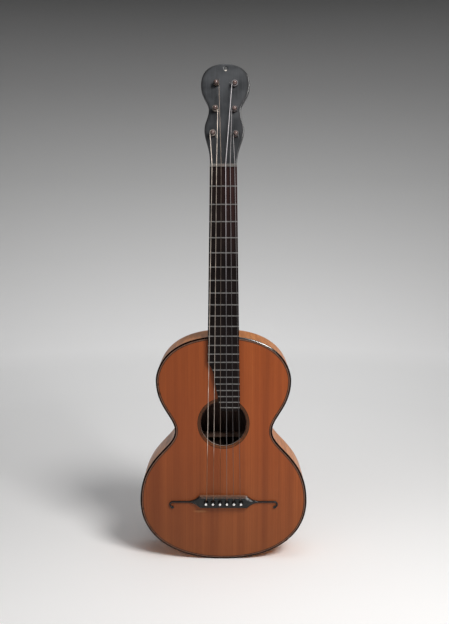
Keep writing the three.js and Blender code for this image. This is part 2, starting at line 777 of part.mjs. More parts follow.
// A string runs up beside its pin, over the saddle and the nut, and round its peg
function stringRoute(i) {
  const radius = stringDiameters[i] / 2;
  const peg = pegs[i];
  const lane = laneHeight(i);
  const x = pinX(i);
  const saddleX = spread(i, stringSpreadAtSaddle);
  const nutX = spread(i, stringSpreadAtNut);
  const saddleY = saddleTop - radius;
  const route = [
    new THREE.Vector3(x, plateThickness + stringGap, lane),
    new THREE.Vector3(x, bridgeTop + radius, lane),
    new THREE.Vector3(x, bridgeTop - radius, lane + radius),
    new THREE.Vector3(saddleX, saddleY, saddleHeight),
    new THREE.Vector3(nutX, stringAtNut(i), nutHeight),
    new THREE.Vector3(nutX, stringAtNut(i), headBase),
  ];
  const toHead = head.matrix.clone().invert();
  const leaving = route.at(-1).clone().applyMatrix4(toHead);
  const turnRadius = pegTipRadius + windingGap + radius;
  const distance = Math.hypot(peg.x - leaving.x, peg.height - leaving.z);
  const course = Math.atan2(peg.height - leaving.z, peg.x - leaving.x)
    - peg.touch * Math.asin(turnRadius / distance);
  const start = course - peg.touch * (Math.PI / 2);
  const pitch = stringDiameters[i] + windingPitchGap;
  const steps = Math.round(windingTurns[i] * windingSteps);
  const winding = [];
  for (let step = 0; step <= steps; step += 1) {
    const turns = (windingTurns[i] * step) / steps;
    const angle = start + peg.touch * 2 * Math.PI * turns;
    winding.push(new THREE.Vector3(
      peg.x + turnRadius * Math.cos(angle),
      -windingStart + pitch * turns,
      peg.height + turnRadius * Math.sin(angle),
    ));
  }
  const end = winding.at(-1);
  const along = end.clone().sub(winding.at(-2)).normalize();
  winding.push(end.clone().addScaledVector(along, windingTail));
  return [...route, ...winding.map((point) => point.applyMatrix4(head.matrix))];
}

// The least gap between stretches of one string that lie at least half a turn apart
function leastGap(route, radius) {
  const stride = radius;
  const path = new THREE.CurvePath();
  for (let i = 1; i < route.length; i += 1) path.add(new THREE.LineCurve3(route[i - 1], route[i]));
  const points = path.getSpacedPoints(Math.round(path.getLength() / stride));
  const apart = Math.ceil((Math.PI * pegTipRadius) / stride);
  let least = Infinity;
  for (let a = 0; a < points.length; a += 1) {
    for (let b = a + apart; b < points.length; b += 1) {
      least = Math.min(least, points[a].distanceTo(points[b]));
    }
  }
  return least - 2 * radius;
}

function strings() {
  const gaps = stringNumbers.map((i) => {
    const route = stringRoute(i);
    const radius = stringDiameters[i] / 2;
    const wound = i < 3;
    piece(`string_${stringNames[i]}`, tube(route, radius, stringSides), wound ? woundSilk : gut);
    return leastGap(route, radius);
  });
  console.log(`Least gap of a string to itself: ${Math.min(...gaps).toFixed(2)} mm`);
}

soundboard();
backPlate();
bindings();
ribs();
linings();
endBlock('neck_block', neckBlockWidth, bodyLength - neckBlockLength, bodyLength);
endBlock('tail_block', tailBlockWidth, 0, tailBlockLength);
braces();
neck();
headstock();
fingerboard();
frets();
nut();
bridge();
saddle();
bridgePins();
tuningPegs();
strings();

// The origin is the middle of the box round the guitar, at its foot
guitar.updateMatrixWorld(true);
const box = new THREE.Box3().setFromObject(guitar, true);
guitar.position.set(-(box.min.x + box.max.x) / 2, -(box.min.y + box.max.y) / 2, -box.min.z);

export default guitar;
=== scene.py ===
import math
from contextlib import contextmanager
from itertools import accumulate

import bmesh
import bpy
from mathutils import Matrix, Vector
from mathutils.geometry import interpolate_bezier


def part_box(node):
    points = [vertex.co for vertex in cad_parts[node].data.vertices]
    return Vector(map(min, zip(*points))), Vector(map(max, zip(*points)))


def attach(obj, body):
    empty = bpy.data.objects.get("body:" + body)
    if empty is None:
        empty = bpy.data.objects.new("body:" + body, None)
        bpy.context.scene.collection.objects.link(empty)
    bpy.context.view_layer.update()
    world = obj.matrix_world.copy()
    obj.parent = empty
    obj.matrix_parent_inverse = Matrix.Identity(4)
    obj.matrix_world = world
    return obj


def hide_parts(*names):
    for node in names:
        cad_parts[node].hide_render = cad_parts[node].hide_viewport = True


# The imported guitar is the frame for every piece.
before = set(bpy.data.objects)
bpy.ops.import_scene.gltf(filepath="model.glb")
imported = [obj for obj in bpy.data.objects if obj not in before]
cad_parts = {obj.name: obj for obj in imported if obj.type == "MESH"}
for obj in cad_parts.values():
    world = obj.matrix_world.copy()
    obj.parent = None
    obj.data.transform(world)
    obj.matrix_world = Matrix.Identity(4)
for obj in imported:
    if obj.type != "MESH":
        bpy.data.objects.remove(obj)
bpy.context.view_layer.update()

# Camera: it looks at the guitar from straight in front, a little down, from about
# a metre and a half away. The picture is 449 by 624 pixels.
SENSOR_MM = 36
PICTURE_HEIGHT_PIXELS = 624
FOCAL_PIXELS = 800
CAMERA_PLACE = (0.0057, -1.48495, 0.6734)
CAMERA_TILT = math.radians(82.2)
CAMERA_TURN = math.radians(0.15)


def placed(name, data):
    """A new object in the scene."""
    thing = bpy.data.objects.new(name, data)
    bpy.context.scene.collection.objects.link(thing)
    return thing


camera_data = bpy.data.cameras.new("camera")
camera_data.sensor_width = SENSOR_MM
camera_data.lens = FOCAL_PIXELS * SENSOR_MM / PICTURE_HEIGHT_PIXELS
camera = placed("camera", camera_data)
camera.location = CAMERA_PLACE
camera.rotation_euler = (CAMERA_TILT, 0, CAMERA_TURN)
bpy.context.scene.camera = camera
bpy.context.scene.view_settings.view_transform = "Standard"

# Studio: a round paper sweep, white on the floor, with painted shade that turns it grey up the wall.
# Four soft lights and a weak sky light it, the strongest from the upper right.
SWEEP_FLOOR_RADIUS = 1.9
SWEEP_BEND_RADIUS = 1.3
SWEEP_HEIGHT = 4.2
SWEEP_SIDES = 64
SWEEP_BEND_STEPS = 12
FLOOR_RING_SHARES = (0.15, 0.30, 0.45, 0.60, 0.75, 0.90)
PAPER_ROUGHNESS = 0.9
PAPER_GLOSS = 0.1
PAPER_WHITE_AND_SHADE = (
    (0.0, 0.95), (0.06, 0.92), (0.15, 0.84), (0.28, 0.80), (0.40, 0.52),
    (0.48, 0.345), (0.56, 0.195), (0.64, 0.068), (0.70, 0.040), (1.0, 0.040),
)
SKY_COLOUR = (0.95, 0.97, 1.0, 1.0)
SKY_STRENGTH = 0.24
# Each light's name, its place, what it points at, its width and height, its power, its colour
# and how wide it shines
SOFT_LIGHTS = (
    ("key_light", (0.95, -1.3, 1.75), (0, 0, 0.40), (0.7, 0.7), 44, (1.0, 0.98, 0.96), 180),
    ("fill_light", (-1.5, -1.8, 1.2), (0, 0, 0.4), (1.6, 1.6), 5, (0.96, 0.98, 1.0), 180),
    ("top_light", (0.2, -0.3, 2.6), (0, 0, 0.2), (1.6, 1.6), 12, (1.0, 1.0, 1.0), 180),
    ("backdrop_light", (0, 0.9, 2.6), (0, 2.7, 0.6), (2.4, 1.0), 20, (1.0, 1.0, 1.0), 110),
)


def set_input(tree, node, key, value):
    """Links a socket to an input, or sets the input to a plain value."""
    if isinstance(value, bpy.types.NodeSocket):
        tree.links.new(value, node.inputs[key])
    else:
        node.inputs[key].default_value = value


def add_node(tree, kind, settings=None, *values, **inputs):
    """Adds a node with its settings. Its inputs are linked or set by their order or by name."""
    node = tree.nodes.new(kind)
    for key, value in (settings or {}).items():
        setattr(node, key, value)
    for index, value in enumerate(values):
        set_input(tree, node, index, value)
    for key, value in inputs.items():
        set_input(tree, node, key.replace("_", " "), value)
    return node


def ramp(tree, value, stops):
    """A run of colours over a value. Each stop is a place and a colour."""
    node = add_node(tree, "ShaderNodeValToRGB", Fac=value)
    elements = node.color_ramp.elements
    while len(elements) < len(stops):
        elements.new(1.0)
    for element, (place, colour) in zip(elements, stops):
        element.position = place
        element.color = (*colour, 1.0)
    return node.outputs["Color"]


def new_material(name):
    """A material that is made of nodes."""
    material = bpy.data.materials.new(name)
    material.use_nodes = True
    return material


def surface(material, **values):
    """Links or sets the inputs of a material's shader by name."""
    tree = material.node_tree
    for key, value in values.items():
        set_input(tree, tree.nodes["Principled BSDF"], key.replace("_", " "), value)


def shares(steps):
    """The shares from nought to one in equal steps."""
    return [step / steps for step in range(steps + 1)]


def between(low, high, share):
    """A value part of the way from low to high."""
    return low + (high - low) * share


def arc(x, z, radius, start, end, steps):
    """Points along an arc, from one angle to another."""
    angles = [between(start, end, share) for share in shares(steps)]
    return [Vector((x + radius * math.cos(angle), z + radius * math.sin(angle))) for angle in angles]


def circle(x, z, radius, steps):
    """Points of a circle, anticlockwise."""
    return arc(x, z, radius, 0, 2 * math.pi, steps)[:-1]


def lengths_along(points):
    """How far along a line each of its points lies."""
    steps = [(end - start).length for start, end in zip(points, points[1:])]
    return list(accumulate(steps, initial=0.0))


@contextmanager
def opened(mesh):
    """Opens a mesh for work on its points and faces, and writes the work back into it."""
    form = bmesh.new()
    form.from_mesh(mesh)
    yield form
    form.to_mesh(mesh)
    form.free()


def lofted(rings, closed=False):
    """A skin over rings of equal point counts. The ends are capped, or joined to each other."""
    count = len(rings[0])
    mesh = bpy.data.meshes.new("loft")
    with opened(mesh) as form:
        points = [[form.verts.new(point) for point in ring] for ring in rings]
        for row in range(len(rings) if closed else len(rings) - 1):
            here, there = points[row], points[(row + 1) % len(rings)]
            for i in range(count):
                following = (i + 1) % count
                form.faces.new((here[i], here[following], there[following], there[i]))
        if not closed:
            form.faces.new(points[0])
            form.faces.new(points[-1])
        bmesh.ops.recalc_face_normals(form, faces=form.faces)
    return mesh


def sweep_profile():
    """Points of the sweep from the middle of the floor outwards and up, as (radius, height)."""
    floor = [Vector((share * SWEEP_FLOOR_RADIUS, 0)) for share in FLOOR_RING_SHARES]
    bend = arc(SWEEP_FLOOR_RADIUS, SWEEP_BEND_RADIUS, SWEEP_BEND_RADIUS, -math.pi / 2, 0, SWEEP_BEND_STEPS)
    return floor + bend + [Vector((SWEEP_FLOOR_RADIUS + SWEEP_BEND_RADIUS, SWEEP_HEIGHT))]


def sweep_mesh():
    """The sweep, open at the top, with an attribute that says how far along it a point lies."""
    profile = sweep_profile()
    rings = []
    for radius, height in profile:
        rings.append([Vector((*point, height)) for point in circle(0, 0, radius, SWEEP_SIDES)])
    mesh = lofted(rings)
    with opened(mesh) as form:
        form.faces.ensure_lookup_table()
        bmesh.ops.delete(form, geom=[form.faces[-1]], context="FACES_ONLY")
        bmesh.ops.reverse_faces(form, faces=form.faces)
    lengths = lengths_along(profile)
    runs = [lengths[i // SWEEP_SIDES] / lengths[-1] for i in range(len(mesh.vertices))]
    mesh.attributes.new("run", "FLOAT", "POINT").data.foreach_set("value", runs)
    mesh.shade_smooth()
    return mesh


paper = new_material("sweep_paper")
up_sweep = add_node(paper.node_tree, "ShaderNodeAttribute", {"attribute_name": "run"}).outputs["Fac"]
# White on the floor, then painted shade that greys the paper up the wall
greys = [(place, (grey, grey, grey)) for place, grey in PAPER_WHITE_AND_SHADE]
surface(
    paper,
    Base_Color=ramp(paper.node_tree, up_sweep, greys),
    Roughness=PAPER_ROUGHNESS,
    Specular_IOR_Level=PAPER_GLOSS,
)
sweep = placed("paper_sweep", sweep_mesh())
sweep.data.materials.append(paper)

for name, place, aim, size, power, colour, spread in SOFT_LIGHTS:
    data = bpy.data.lights.new(name, "AREA")
    data.shape = "RECTANGLE"
    data.size, data.size_y = size
    data.energy = power
    data.color = colour
    data.spread = math.radians(spread)
    light = placed(name, data)
    light.location = place
    light.rotation_euler = (Vector(aim) - Vector(place)).to_track_quat("-Z", "Y").to_euler()
    light.visible_camera = False

world = bpy.data.worlds.new("sky")
world.use_nodes = True
world.node_tree.nodes["Background"].inputs["Color"].default_value = SKY_COLOUR
world.node_tree.nodes["Background"].inputs["Strength"].default_value = SKY_STRENGTH
bpy.context.scene.world = world

# Soundboard: two matched halves of straight-grained spruce, 2.6 mm thick, with a round
# hole. It is varnished orange-brown and glued down on the linings inside the binding.
MM = 0.001
TOP_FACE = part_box("soundboard")[0].y
BODY_LENGTH = 430 * MM
DEPTH_AT_NECK = 84 * MM
DEPTH_AT_TAIL = 90 * MM
# The widths of the lower bout, the waist and the upper bout, and their heights as shares
BOUTS = ((314 * MM, 0.265), (181.5 * MM, 0.5825), (251 * MM, 0.806))
BODY_HANDLE_SHARES = ((0.596, 0.615), (0.633, 0.249), (0.272, 0.527), (0.213, 0.885))
BODY_HALF_WIDTH = BOUTS[0][0] / 2
OUTLINE_STEPS = 40
PLATE = 2.6 * MM
PLATE_ROUNDING = 0.3 * MM
ROUNDED_EDGE_STEPS = 2
BINDING_WIDTH = 3 * MM
SOUNDHOLE_RADIUS = 42.5 * MM
SOUNDHOLE_Z = 265.4 * MM
SOUNDHOLE_STEPS = 128
STRINGS = ("6", "5", "4", "3", "2", "1")
PIN_Z = 113.75 * MM
PIN_SPACING = 13.1 * MM
PIN_HOLE_RADIUS = 2.95 * MM
PIN_HOLE_STEPS = 24
MERGE_DISTANCE = 0.002 * MM
# Noise keeps mostly between these two values
NOISE_SPREAD = (0.3, 0.7)
SPRUCE_BANDS = (
    (0.0, (0.225, 0.046, 0.009)),
    (0.5, (0.288, 0.062, 0.012)),
    (1.0, (0.352, 0.083, 0.017)),
)
GROWTH_LINE = (0.17, 0.030, 0.006)
PALE_FIBRE = (0.46, 0.135, 0.032)
AGED_PATCH = (0.235, 0.050, 0.012)
RUBBED_SPRUCE = (0.62, 0.24, 0.075)
RUB_PLACE = (-44 * MM, 0, 94.5 * MM)
# One over the half width and the half height of the rubbed oval, in metres
RUB_STRETCH = (60, 0, 330)
DULLED_BELOW = (0.74, 0.97, 1.30)
DULLED_HEIGHT = 0.6 * BODY_LENGTH
# Painted shade on the bass side of the top
BASS_SIDE_PAINTED_SHADE = (0.62, 0.62, 0.66)
HOLE_EDGE = (0.045, 0.024, 0.016)
SAWN_EDGE = (0.44, 0.33, 0.27)
SAWN_FROM = 0.2 * MM
SPRUCE_RELIEF = 0.05 * MM


def handle(start, end, share):
    """A curve's handle on the way to end: sideways from the middle line, upright from elsewhere."""
    if start.x == 0:
        return Vector((share * end.x, start.y))
    return Vector((start.x, between(start.y, end.y, share)))


def smooth_line(corners, handle_shares, steps):
    """Curves from corner to corner. The shares say how far the two handles of each curve reach."""
    points = [corners[0].copy()]
    for start, end, (leaving, arriving) in zip(corners, corners[1:], handle_shares):
        handles = handle(start, end, leaving), handle(end, start, arriving)
        curve = interpolate_bezier(start, *handles, end, steps + 1)
        points += [Vector(point[:2]) for point in curve[1:]]
    return points


def inset_line(points, inset):
    """Moves each point of a line to its left by the inset."""
    moved = []
    for i, point in enumerate(points):
        along = points[min(i + 1, len(points) - 1)] - points[max(i - 1, 0)]
        along.normalize()
        moved.append(point + Vector((-along.y, along.x)) * inset)
    return moved


def body_half(inset=0.0):
    """The treble half of the body's outline, from the middle of the tail up to the top, as (x, z)."""
    bouts = [Vector((width / 2, share * BODY_LENGTH)) for width, share in BOUTS]
    corners = [Vector((0, 0)), *bouts, Vector((0, BODY_LENGTH))]
    points = inset_line(smooth_line(corners, BODY_HANDLE_SHARES, OUTLINE_STEPS), inset)
    points[0].x = points[-1].x = 0.0
    return points


def mirrored(points):
    """The same line on the other side, run the other way."""
    return [Vector((-point.x, point.y)) for point in reversed(points)]


def body_outline(inset=0.0):
    """The whole outline, anticlockwise."""
    half = body_half(inset)
    return half + mirrored(half)[1:-1]


def depth_at(z):
    """How far the outside of the back lies behind the front of the top."""
    return between(DEPTH_AT_TAIL, DEPTH_AT_NECK, z / BODY_LENGTH)


def pin_x(number):
    """How far a pin lies from the middle, counted from the bass side."""
    return PIN_SPACING * (number - (len(STRINGS) - 1) / 2)


def board(outlines, thickness, rounding):
    """A flat board with its front face at y = 0, cut from outlines of (x, z), its edges rounded."""
    curve = bpy.data.curves.new("board", "CURVE")
    curve.dimensions = "2D"
    curve.fill_mode = "BOTH"
    curve.extrude = thickness / 2 - rounding
    curve.bevel_depth = rounding
    curve.bevel_resolution = ROUNDED_EDGE_STEPS
    curve.offset = -rounding
    for outline in outlines:
        spline = curve.splines.new("POLY")
        spline.points.add(len(outline) - 1)
        for point, place in zip(spline.points, outline):
            point.co = (place[0], place[1], 0, 1)
        spline.use_cyclic_u = True
    maker = bpy.data.objects.new("board", curve)
    mesh = bpy.data.meshes.new_from_object(maker)
    bpy.data.objects.remove(maker)
    mesh.transform(Matrix.Translation((0, thickness / 2, 0)) @ Matrix.Rotation(math.pi / 2, 4, "X"))
    return mesh


def plain_mesh(piece):
    """The mesh that a piece's modifiers make of it."""
    depsgraph = bpy.context.evaluated_depsgraph_get()
    return bpy.data.meshes.new_from_object(piece.evaluated_get(depsgraph))


def finished(name, mesh, materials, replaced=(), body="guitar", sharp_angle=40):
    """Closes a mesh, smooths its shading, puts it in the frame and lets it ride on its body."""
    with opened(mesh) as form:
        bmesh.ops.remove_doubles(form, verts=form.verts, dist=MERGE_DISTANCE)
        bmesh.ops.recalc_face_normals(form, faces=form.faces)
    mesh.shade_smooth()
    mesh.set_sharp_from_angle(angle=math.radians(sharp_angle))
    mesh.transform(Matrix.Translation((0, TOP_FACE, 0)))
    piece = placed(name, mesh)
    piece.modifiers.new("weighting", "WEIGHTED_NORMAL").keep_sharp = True
    piece.data = plain_mesh(piece)
    piece.modifiers.clear()
    piece.data.name = name
    for material in materials[len(piece.data.materials) :]:
        piece.data.materials.append(material)
    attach(piece, body)
    if replaced:
        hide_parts(*replaced)


def calculate(tree, operation, *values):
    """One sum on one value or two."""
    return add_node(tree, "ShaderNodeMath", {"operation": operation}, *values).outputs["Value"]


def times(tree, first, second):
    """One value times another."""
    return calculate(tree, "MULTIPLY", first, second)


def remap(tree, value, low, high, to_low=0.0, to_high=1.0):
    """Turns the range from low to high into another one, and holds it there."""
    node = add_node(
        tree, "ShaderNodeMapRange", Value=value, From_Min=low, From_Max=high, To_Min=to_low, To_Max=to_high
    )
    return node.outputs["Result"]


def noise(tree, vector, grains, detail, roughness=0.5):
    """Noise of so many grains a metre. Three numbers draw the grains out in the three directions."""
    if isinstance(grains, tuple):
        vector = add_node(tree, "ShaderNodeMapping", Vector=vector, Scale=grains).outputs["Vector"]
        grains = 1.0
    node = add_node(
        tree, "ShaderNodeTexNoise", Vector=vector, Scale=grains, Detail=detail, Roughness=roughness
    )
    return node.outputs["Fac"]


def object_place(tree):
    """The point's own place on the guitar, in metres."""
    return add_node(tree, "ShaderNodeTexCoord").outputs["Object"]


def parts_of(tree, vector=None):
    """The X, Y and Z of a vector, or else of the point's own place."""
    source = object_place(tree) if vector is None else vector
    return add_node(tree, "ShaderNodeSeparateXYZ", Vector=source).outputs


def distance_from(tree, spot, scale=(1, 0, 1)):
    """How far a point lies from a spot, with each direction stretched by the scale."""
    stretched = add_node(tree, "ShaderNodeMapping", Vector=object_place(tree), Scale=scale).outputs["Vector"]
    middle = tuple(part * stretch for part, stretch in zip(spot, scale))
    node = add_node(tree, "ShaderNodeVectorMath", {"operation": "DISTANCE"}, stretched, middle)
    return node.outputs["Value"]


def relief(tree, height, depth, strength):
    """A normal from a height, with the depth that it stands for."""
    node = add_node(tree, "ShaderNodeBump", Height=height, Distance=depth, Strength=strength)
    return node.outputs["Normal"]


def mix(tree, share, first, second, way="MIX"):
    """Mixes two colours, which are sockets or plain colours, by a share."""
    node = add_node(tree, "ShaderNodeMix", {"data_type": "RGBA", "blend_type": way}, share)
    for key, value in ((6, first), (7, second)):
        set_input(tree, node, key, (*value, 1.0) if isinstance(value, tuple) else value)
    return node.outputs[2]


def tint(material, mask, colour, strength=1.0, way="MIX"):
    """Lays a colour over the material's own one where the mask is strong."""
    tree = material.node_tree
    own = tree.nodes["Principled BSDF"].inputs["Base Color"].links[0].from_socket
    share = mask if strength == 1.0 else times(tree, mask, strength)
    surface(material, Base_Color=mix(tree, share, own, colour, way))


def darkened(colour, share):
    """A colour with only a share of its light."""
    return tuple(part * share for part in colour)


def new_group(name, knob, value, masks):
    """A node group that takes a vector and one named number, and puts out masks."""
    tree = bpy.data.node_groups.new(name, "ShaderNodeTree")
    tree.interface.new_socket("Vector", in_out="INPUT", socket_type="NodeSocketVector")
    tree.interface.new_socket(knob, in_out="INPUT", socket_type="NodeSocketFloat").default_value = value
    for mask in masks:
        tree.interface.new_socket(mask, in_out="OUTPUT", socket_type="NodeSocketFloat")
    return tree, tree.nodes.new("NodeGroupInput").outputs, tree.nodes.new("NodeGroupOutput")


def use_group(tree, group, vector=None, **inputs):
    """Places a node group in a material, on the point's own place unless a vector is given."""
    source = object_place(tree) if vector is None else vector
    return add_node(tree, "ShaderNodeGroup", {"node_tree": group}, Vector=source, **inputs).outputs


def grain_group():
    """Straight grain along Z: growth lines, broad bands between them, and fine fibres."""
    tree, start, end = new_group("straight_grain", "Wander", 0.004, ("Lines", "Bands", "Fibres"))
    drift = calculate(tree, "SUBTRACT", noise(tree, start["Vector"], (4, 4, 2.2), 2), 0.5)
    sideways = add_node(tree, "ShaderNodeCombineXYZ", X=times(tree, drift, start["Wander"])).outputs["Vector"]
    moved = add_node(tree, "ShaderNodeVectorMath", {"operation": "ADD"}, start["Vector"], sideways)
    wandering = moved.outputs["Vector"]
    lines = noise(tree, wandering, (620, 60, 2.2), 3, 0.6)
    bands = noise(tree, wandering, (62, 12, 0.9), 3, 0.55)
    fibres = noise(tree, wandering, (2400, 900, 34), 2, 0.6)
    set_input(tree, end, "Lines", remap(tree, lines, 0.36, 0.66))
    set_input(tree, end, "Bands", remap(tree, bands, *NOISE_SPREAD))
    set_input(tree, end, "Fibres", remap(tree, fibres, *NOISE_SPREAD))
    return tree


def patches_group():
    """Uneven polish and grime: soft patches, so many a metre."""
    tree, start, end = new_group("polish_patches", "Patches", 14.0, ("Patches",))
    patch = noise(tree, start["Vector"], start["Patches"], 4.0, 0.6)
    set_input(tree, end, "Patches", remap(tree, patch, 0.35, 0.65))
    return tree


grain = grain_group()
patches = patches_group()


def spruce_material():
    """Aged spruce under an orange-brown varnish, duller below, with painted shade on the bass side, rubbed by
    the bridge.
    """
    material = new_material("spruce_varnished")
    tree = material.node_tree
    wood = use_group(tree, grain, Wander=0.006)
    worn = use_group(tree, patches, Patches=11.0)["Patches"]
    surface(
        material,
        Base_Color=ramp(tree, wood["Bands"], SPRUCE_BANDS),
        Roughness=remap(tree, worn, 0.0, 1.0, 0.40, 0.54),
        Specular_IOR_Level=0.22,
        Coat_Weight=0.06,
        Coat_Roughness=0.25,
        Normal=relief(tree, wood["Lines"], SPRUCE_RELIEF, 0.35),
    )
    tint(material, wood["Lines"], GROWTH_LINE, 0.42)
    tint(material, wood["Fibres"], PALE_FIBRE, 0.16)
    tint(material, worn, AGED_PATCH, 0.22)
    from_rub = distance_from(tree, RUB_PLACE, RUB_STRETCH)
    rubbed = remap(tree, from_rub, 0.35, 1.0, 0.75, 0.0)
    tint(material, times(tree, rubbed, wood["Fibres"]), RUBBED_SPRUCE)
    place = parts_of(tree)
    low = remap(tree, place["Z"], 0.0, DULLED_HEIGHT, 0.9, 0.0)
    # Painted shade: the bass side of the top is darkened, away from the light
    bass = remap(tree, place["X"], -BODY_HALF_WIDTH, BODY_HALF_WIDTH, 0.7, 0.0)
    tint(material, low, DULLED_BELOW, way="MULTIPLY")
    tint(material, bass, BASS_SIDE_PAINTED_SHADE, way="MULTIPLY")
    from_hole = distance_from(tree, (0, 0, SOUNDHOLE_Z))
    at_hole = calculate(tree, "LESS_THAN", from_hole, SOUNDHOLE_RADIUS + PLATE_ROUNDING)
    behind_face = calculate(tree, "GREATER_THAN", place["Y"], TOP_FACE + SAWN_FROM)
    tint(material, at_hole, HOLE_EDGE)
    tint(material, times(tree, at_hole, behind_face), SAWN_EDGE)
    return material


top_outlines = [body_outline(BINDING_WIDTH - PLATE_ROUNDING)]
top_outlines.append(circle(0, SOUNDHOLE_Z, SOUNDHOLE_RADIUS, SOUNDHOLE_STEPS))
for number in range(len(STRINGS)):
    top_outlines.append(circle(pin_x(number), PIN_Z, PIN_HOLE_RADIUS, PIN_HOLE_STEPS))
top = board(top_outlines, PLATE, PLATE_ROUNDING)
finished("spruce_top", top, [spruce_material()], ["soundboard"])

# Stringing and rosette: thin strips of black and pale wood let into the top, inside the
# binding and round the soundhole, scraped nearly flush with it.
INLAY_LIFT = 0.05 * MM
INLAY_DEPTH = 0.3 * MM
STRINGING_WIDTHS = (1.8 * MM, 1.0 * MM)
ROSETTE_START = 42.9 * MM
ROSETTE_WIDTHS = (0.8 * MM, 0.8 * MM, 2.6 * MM, 0.8 * MM, 0.8 * MM)
ROSETTE_BLOCKS = 192
BLOCK_DARK = (0.065, 0.027, 0.013)
BLOCK_PALE = (0.100, 0.040, 0.019)
BLOCK_BETWEEN = (0.045, 0.019, 0.010)
BLEACHED = (0.20, 0.060, 0.018)
BLEACHING_START = 15 * MM
BLEACHING_END = 42 * MM
INLAY_GRAINS = (260, 260, 90)


def streaked(name, grains, tones, roughness, detail=3, **others):
    """A material with streaks of several tones and a sheen that goes with them."""
    material = new_material(name)
    tree = material.node_tree
    streaks = noise(tree, object_place(tree), grains, detail)
    places = [between(*NOISE_SPREAD, share) for share in shares(len(tones) - 1)]
    surface(
        material,
        Base_Color=ramp(tree, streaks, list(zip(places, tones))),
        Roughness=remap(tree, streaks, *NOISE_SPREAD, *roughness),
        **others,
    )
    return material


def bleach(material):
    """The rosette is bleached on its lower side, where the hand brushes it."""
    tree = material.node_tree
    reach = SOUNDHOLE_Z - BLEACHING_START, SOUNDHOLE_Z - BLEACHING_END
    tint(material, remap(tree, parts_of(tree)["Z"], *reach, 0.0, 0.6), BLEACHED)


def rosette_material():
    """The middle band of the rosette: short blocks of two brown woods, set side by side."""
    tones = (BLOCK_DARK, BLOCK_PALE)
    material = streaked("rosette_blocks", (300, 300, 300), tones, (0.4, 0.5), 2, Specular_IOR_Level=0.1)
    tree = material.node_tree
    centred = add_node(tree, "ShaderNodeMapping", Vector=object_place(tree), Location=(0, 0, -SOUNDHOLE_Z))
    place = parts_of(tree, centred.outputs["Vector"])
    angle = calculate(tree, "ARCTAN2", place["Z"], place["X"])
    across_block = calculate(tree, "FRACT", times(tree, angle, ROSETTE_BLOCKS / (2 * math.pi)))
    tint(material, calculate(tree, "GREATER_THAN", across_block, 0.5), BLOCK_BETWEEN)
    bleach(material)
    return material


def strip(lines, depths, from_back=False):
    """A closed strip. Each corner of it follows a line, at a depth counted from the front or the back."""
    rings = []
    for points in zip(*lines):
        ring = []
        for point, depth in zip(points, depths):
            y = depth_at(point.y) - depth if from_back else depth
            ring.append(Vector((point.x, y, point.y)))
        rings.append(ring)
    return lofted(rings, closed=True)


def inlay(lines, material_numbers):
    """A set of strips side by side, one between each line and the next."""
    mesh = bpy.data.meshes.new("inlay")
    depths = (-INLAY_LIFT, -INLAY_LIFT, INLAY_DEPTH, INLAY_DEPTH)
    with opened(mesh) as form:
        for outer, inner, number in zip(lines, lines[1:], material_numbers):
            before = len(form.faces)
            form.from_mesh(strip((outer, inner, inner, outer), depths))
            form.faces.ensure_lookup_table()
            for face in form.faces[before:]:
                face.material_index = number
    return mesh


inlay_look = {"grains": INLAY_GRAINS, "Specular_IOR_Level": 0.1}
brown_tones = ((0.11, 0.055, 0.036), (0.17, 0.088, 0.058))
olive_tones = ((0.060, 0.026, 0.013), (0.100, 0.042, 0.020))
black_tones = ((0.008, 0.004, 0.004), (0.022, 0.009, 0.007))
brown_strip = streaked("brown_strip", tones=brown_tones, roughness=(0.5, 0.62), **inlay_look)
olive_strip = streaked("olive_strip", tones=olive_tones, roughness=(0.48, 0.60), **inlay_look)
black_strip = streaked("black_strip", tones=black_tones, roughness=(0.45, 0.57), **inlay_look)
bleach(olive_strip)

insets = accumulate(STRINGING_WIDTHS, initial=BINDING_WIDTH)
stringing = inlay([body_outline(inset) for inset in insets], (0, 1))
finished("edge_stringing", stringing, [brown_strip, black_strip])

radii = accumulate(ROSETTE_WIDTHS, initial=ROSETTE_START)
rings = [circle(0, SOUNDHOLE_Z, radius, SOUNDHOLE_STEPS) for radius in radii]
rosette_woods = [olive_strip, black_strip, rosette_material()]
finished("rosette", inlay(rings, (1, 0, 2, 0, 1)), rosette_woods)

# Bindings: black strips bent round the front and the back edge of the body, glued into a
# ledge and rounded by hand along the outer corner.
BINDING_ROUNDING = 2.1 * MM
BINDING_ROUNDING_STEPS = 5
BINDING_SHINE = ((64 * MM, 412 * MM, 50 * MM),)
BLACK_WOOD_RELIEF = 0.03 * MM


def black_wood(name, tone, rubbed_tone, roughness, gloss=0.3):
    """Black stained wood: faint grain lines, and a satin polish that is rubbed in places."""
    material = new_material(name)
    tree = material.node_tree
    wood = use_group(tree, grain, Wander=0.01)
    worn = use_group(tree, patches, Patches=30.0)["Patches"]
    surface(
        material,
        Base_Color=ramp(tree, wood["Lines"], ((0.0, darkened(tone, 0.55)), (1.0, tone))),
        Roughness=remap(tree, worn, 0, 1, roughness, roughness + 0.14),
        Specular_IOR_Level=gloss,
        Normal=relief(tree, wood["Fibres"], BLACK_WOOD_RELIEF, 0.5),
    )
    tint(material, worn, rubbed_tone, 0.5)
    return material


def polished(material, spots, roughness, ior):
    """Gives a material a hard shine round each spot of (x, z, reach), where hands have rubbed it."""
    tree = material.node_tree
    shine = 0.0
    for x, z, reach in spots:
        near = remap(tree, distance_from(tree, (x, 0, z)), reach * 0.4, reach, 1.0, 0.0)
        shine = calculate(tree, "MAXIMUM", near, shine)
    surface(material, Coat_Weight=shine, Coat_Roughness=roughness, Coat_IOR=ior)


def binding(from_back):
    """The binding round the front or the back edge. Its outer corner is rounded."""
    rounding = BINDING_ROUNDING
    corner = arc(rounding, rounding, rounding, -math.pi / 2, -math.pi, BINDING_ROUNDING_STEPS)
    section = [(BINDING_WIDTH, 0.0), *corner, (0.0, PLATE), (BINDING_WIDTH, PLATE)]
    lines = [body_outline(inset) for inset, depth in section]
    return strip(lines, [depth for inset, depth in section], from_back)


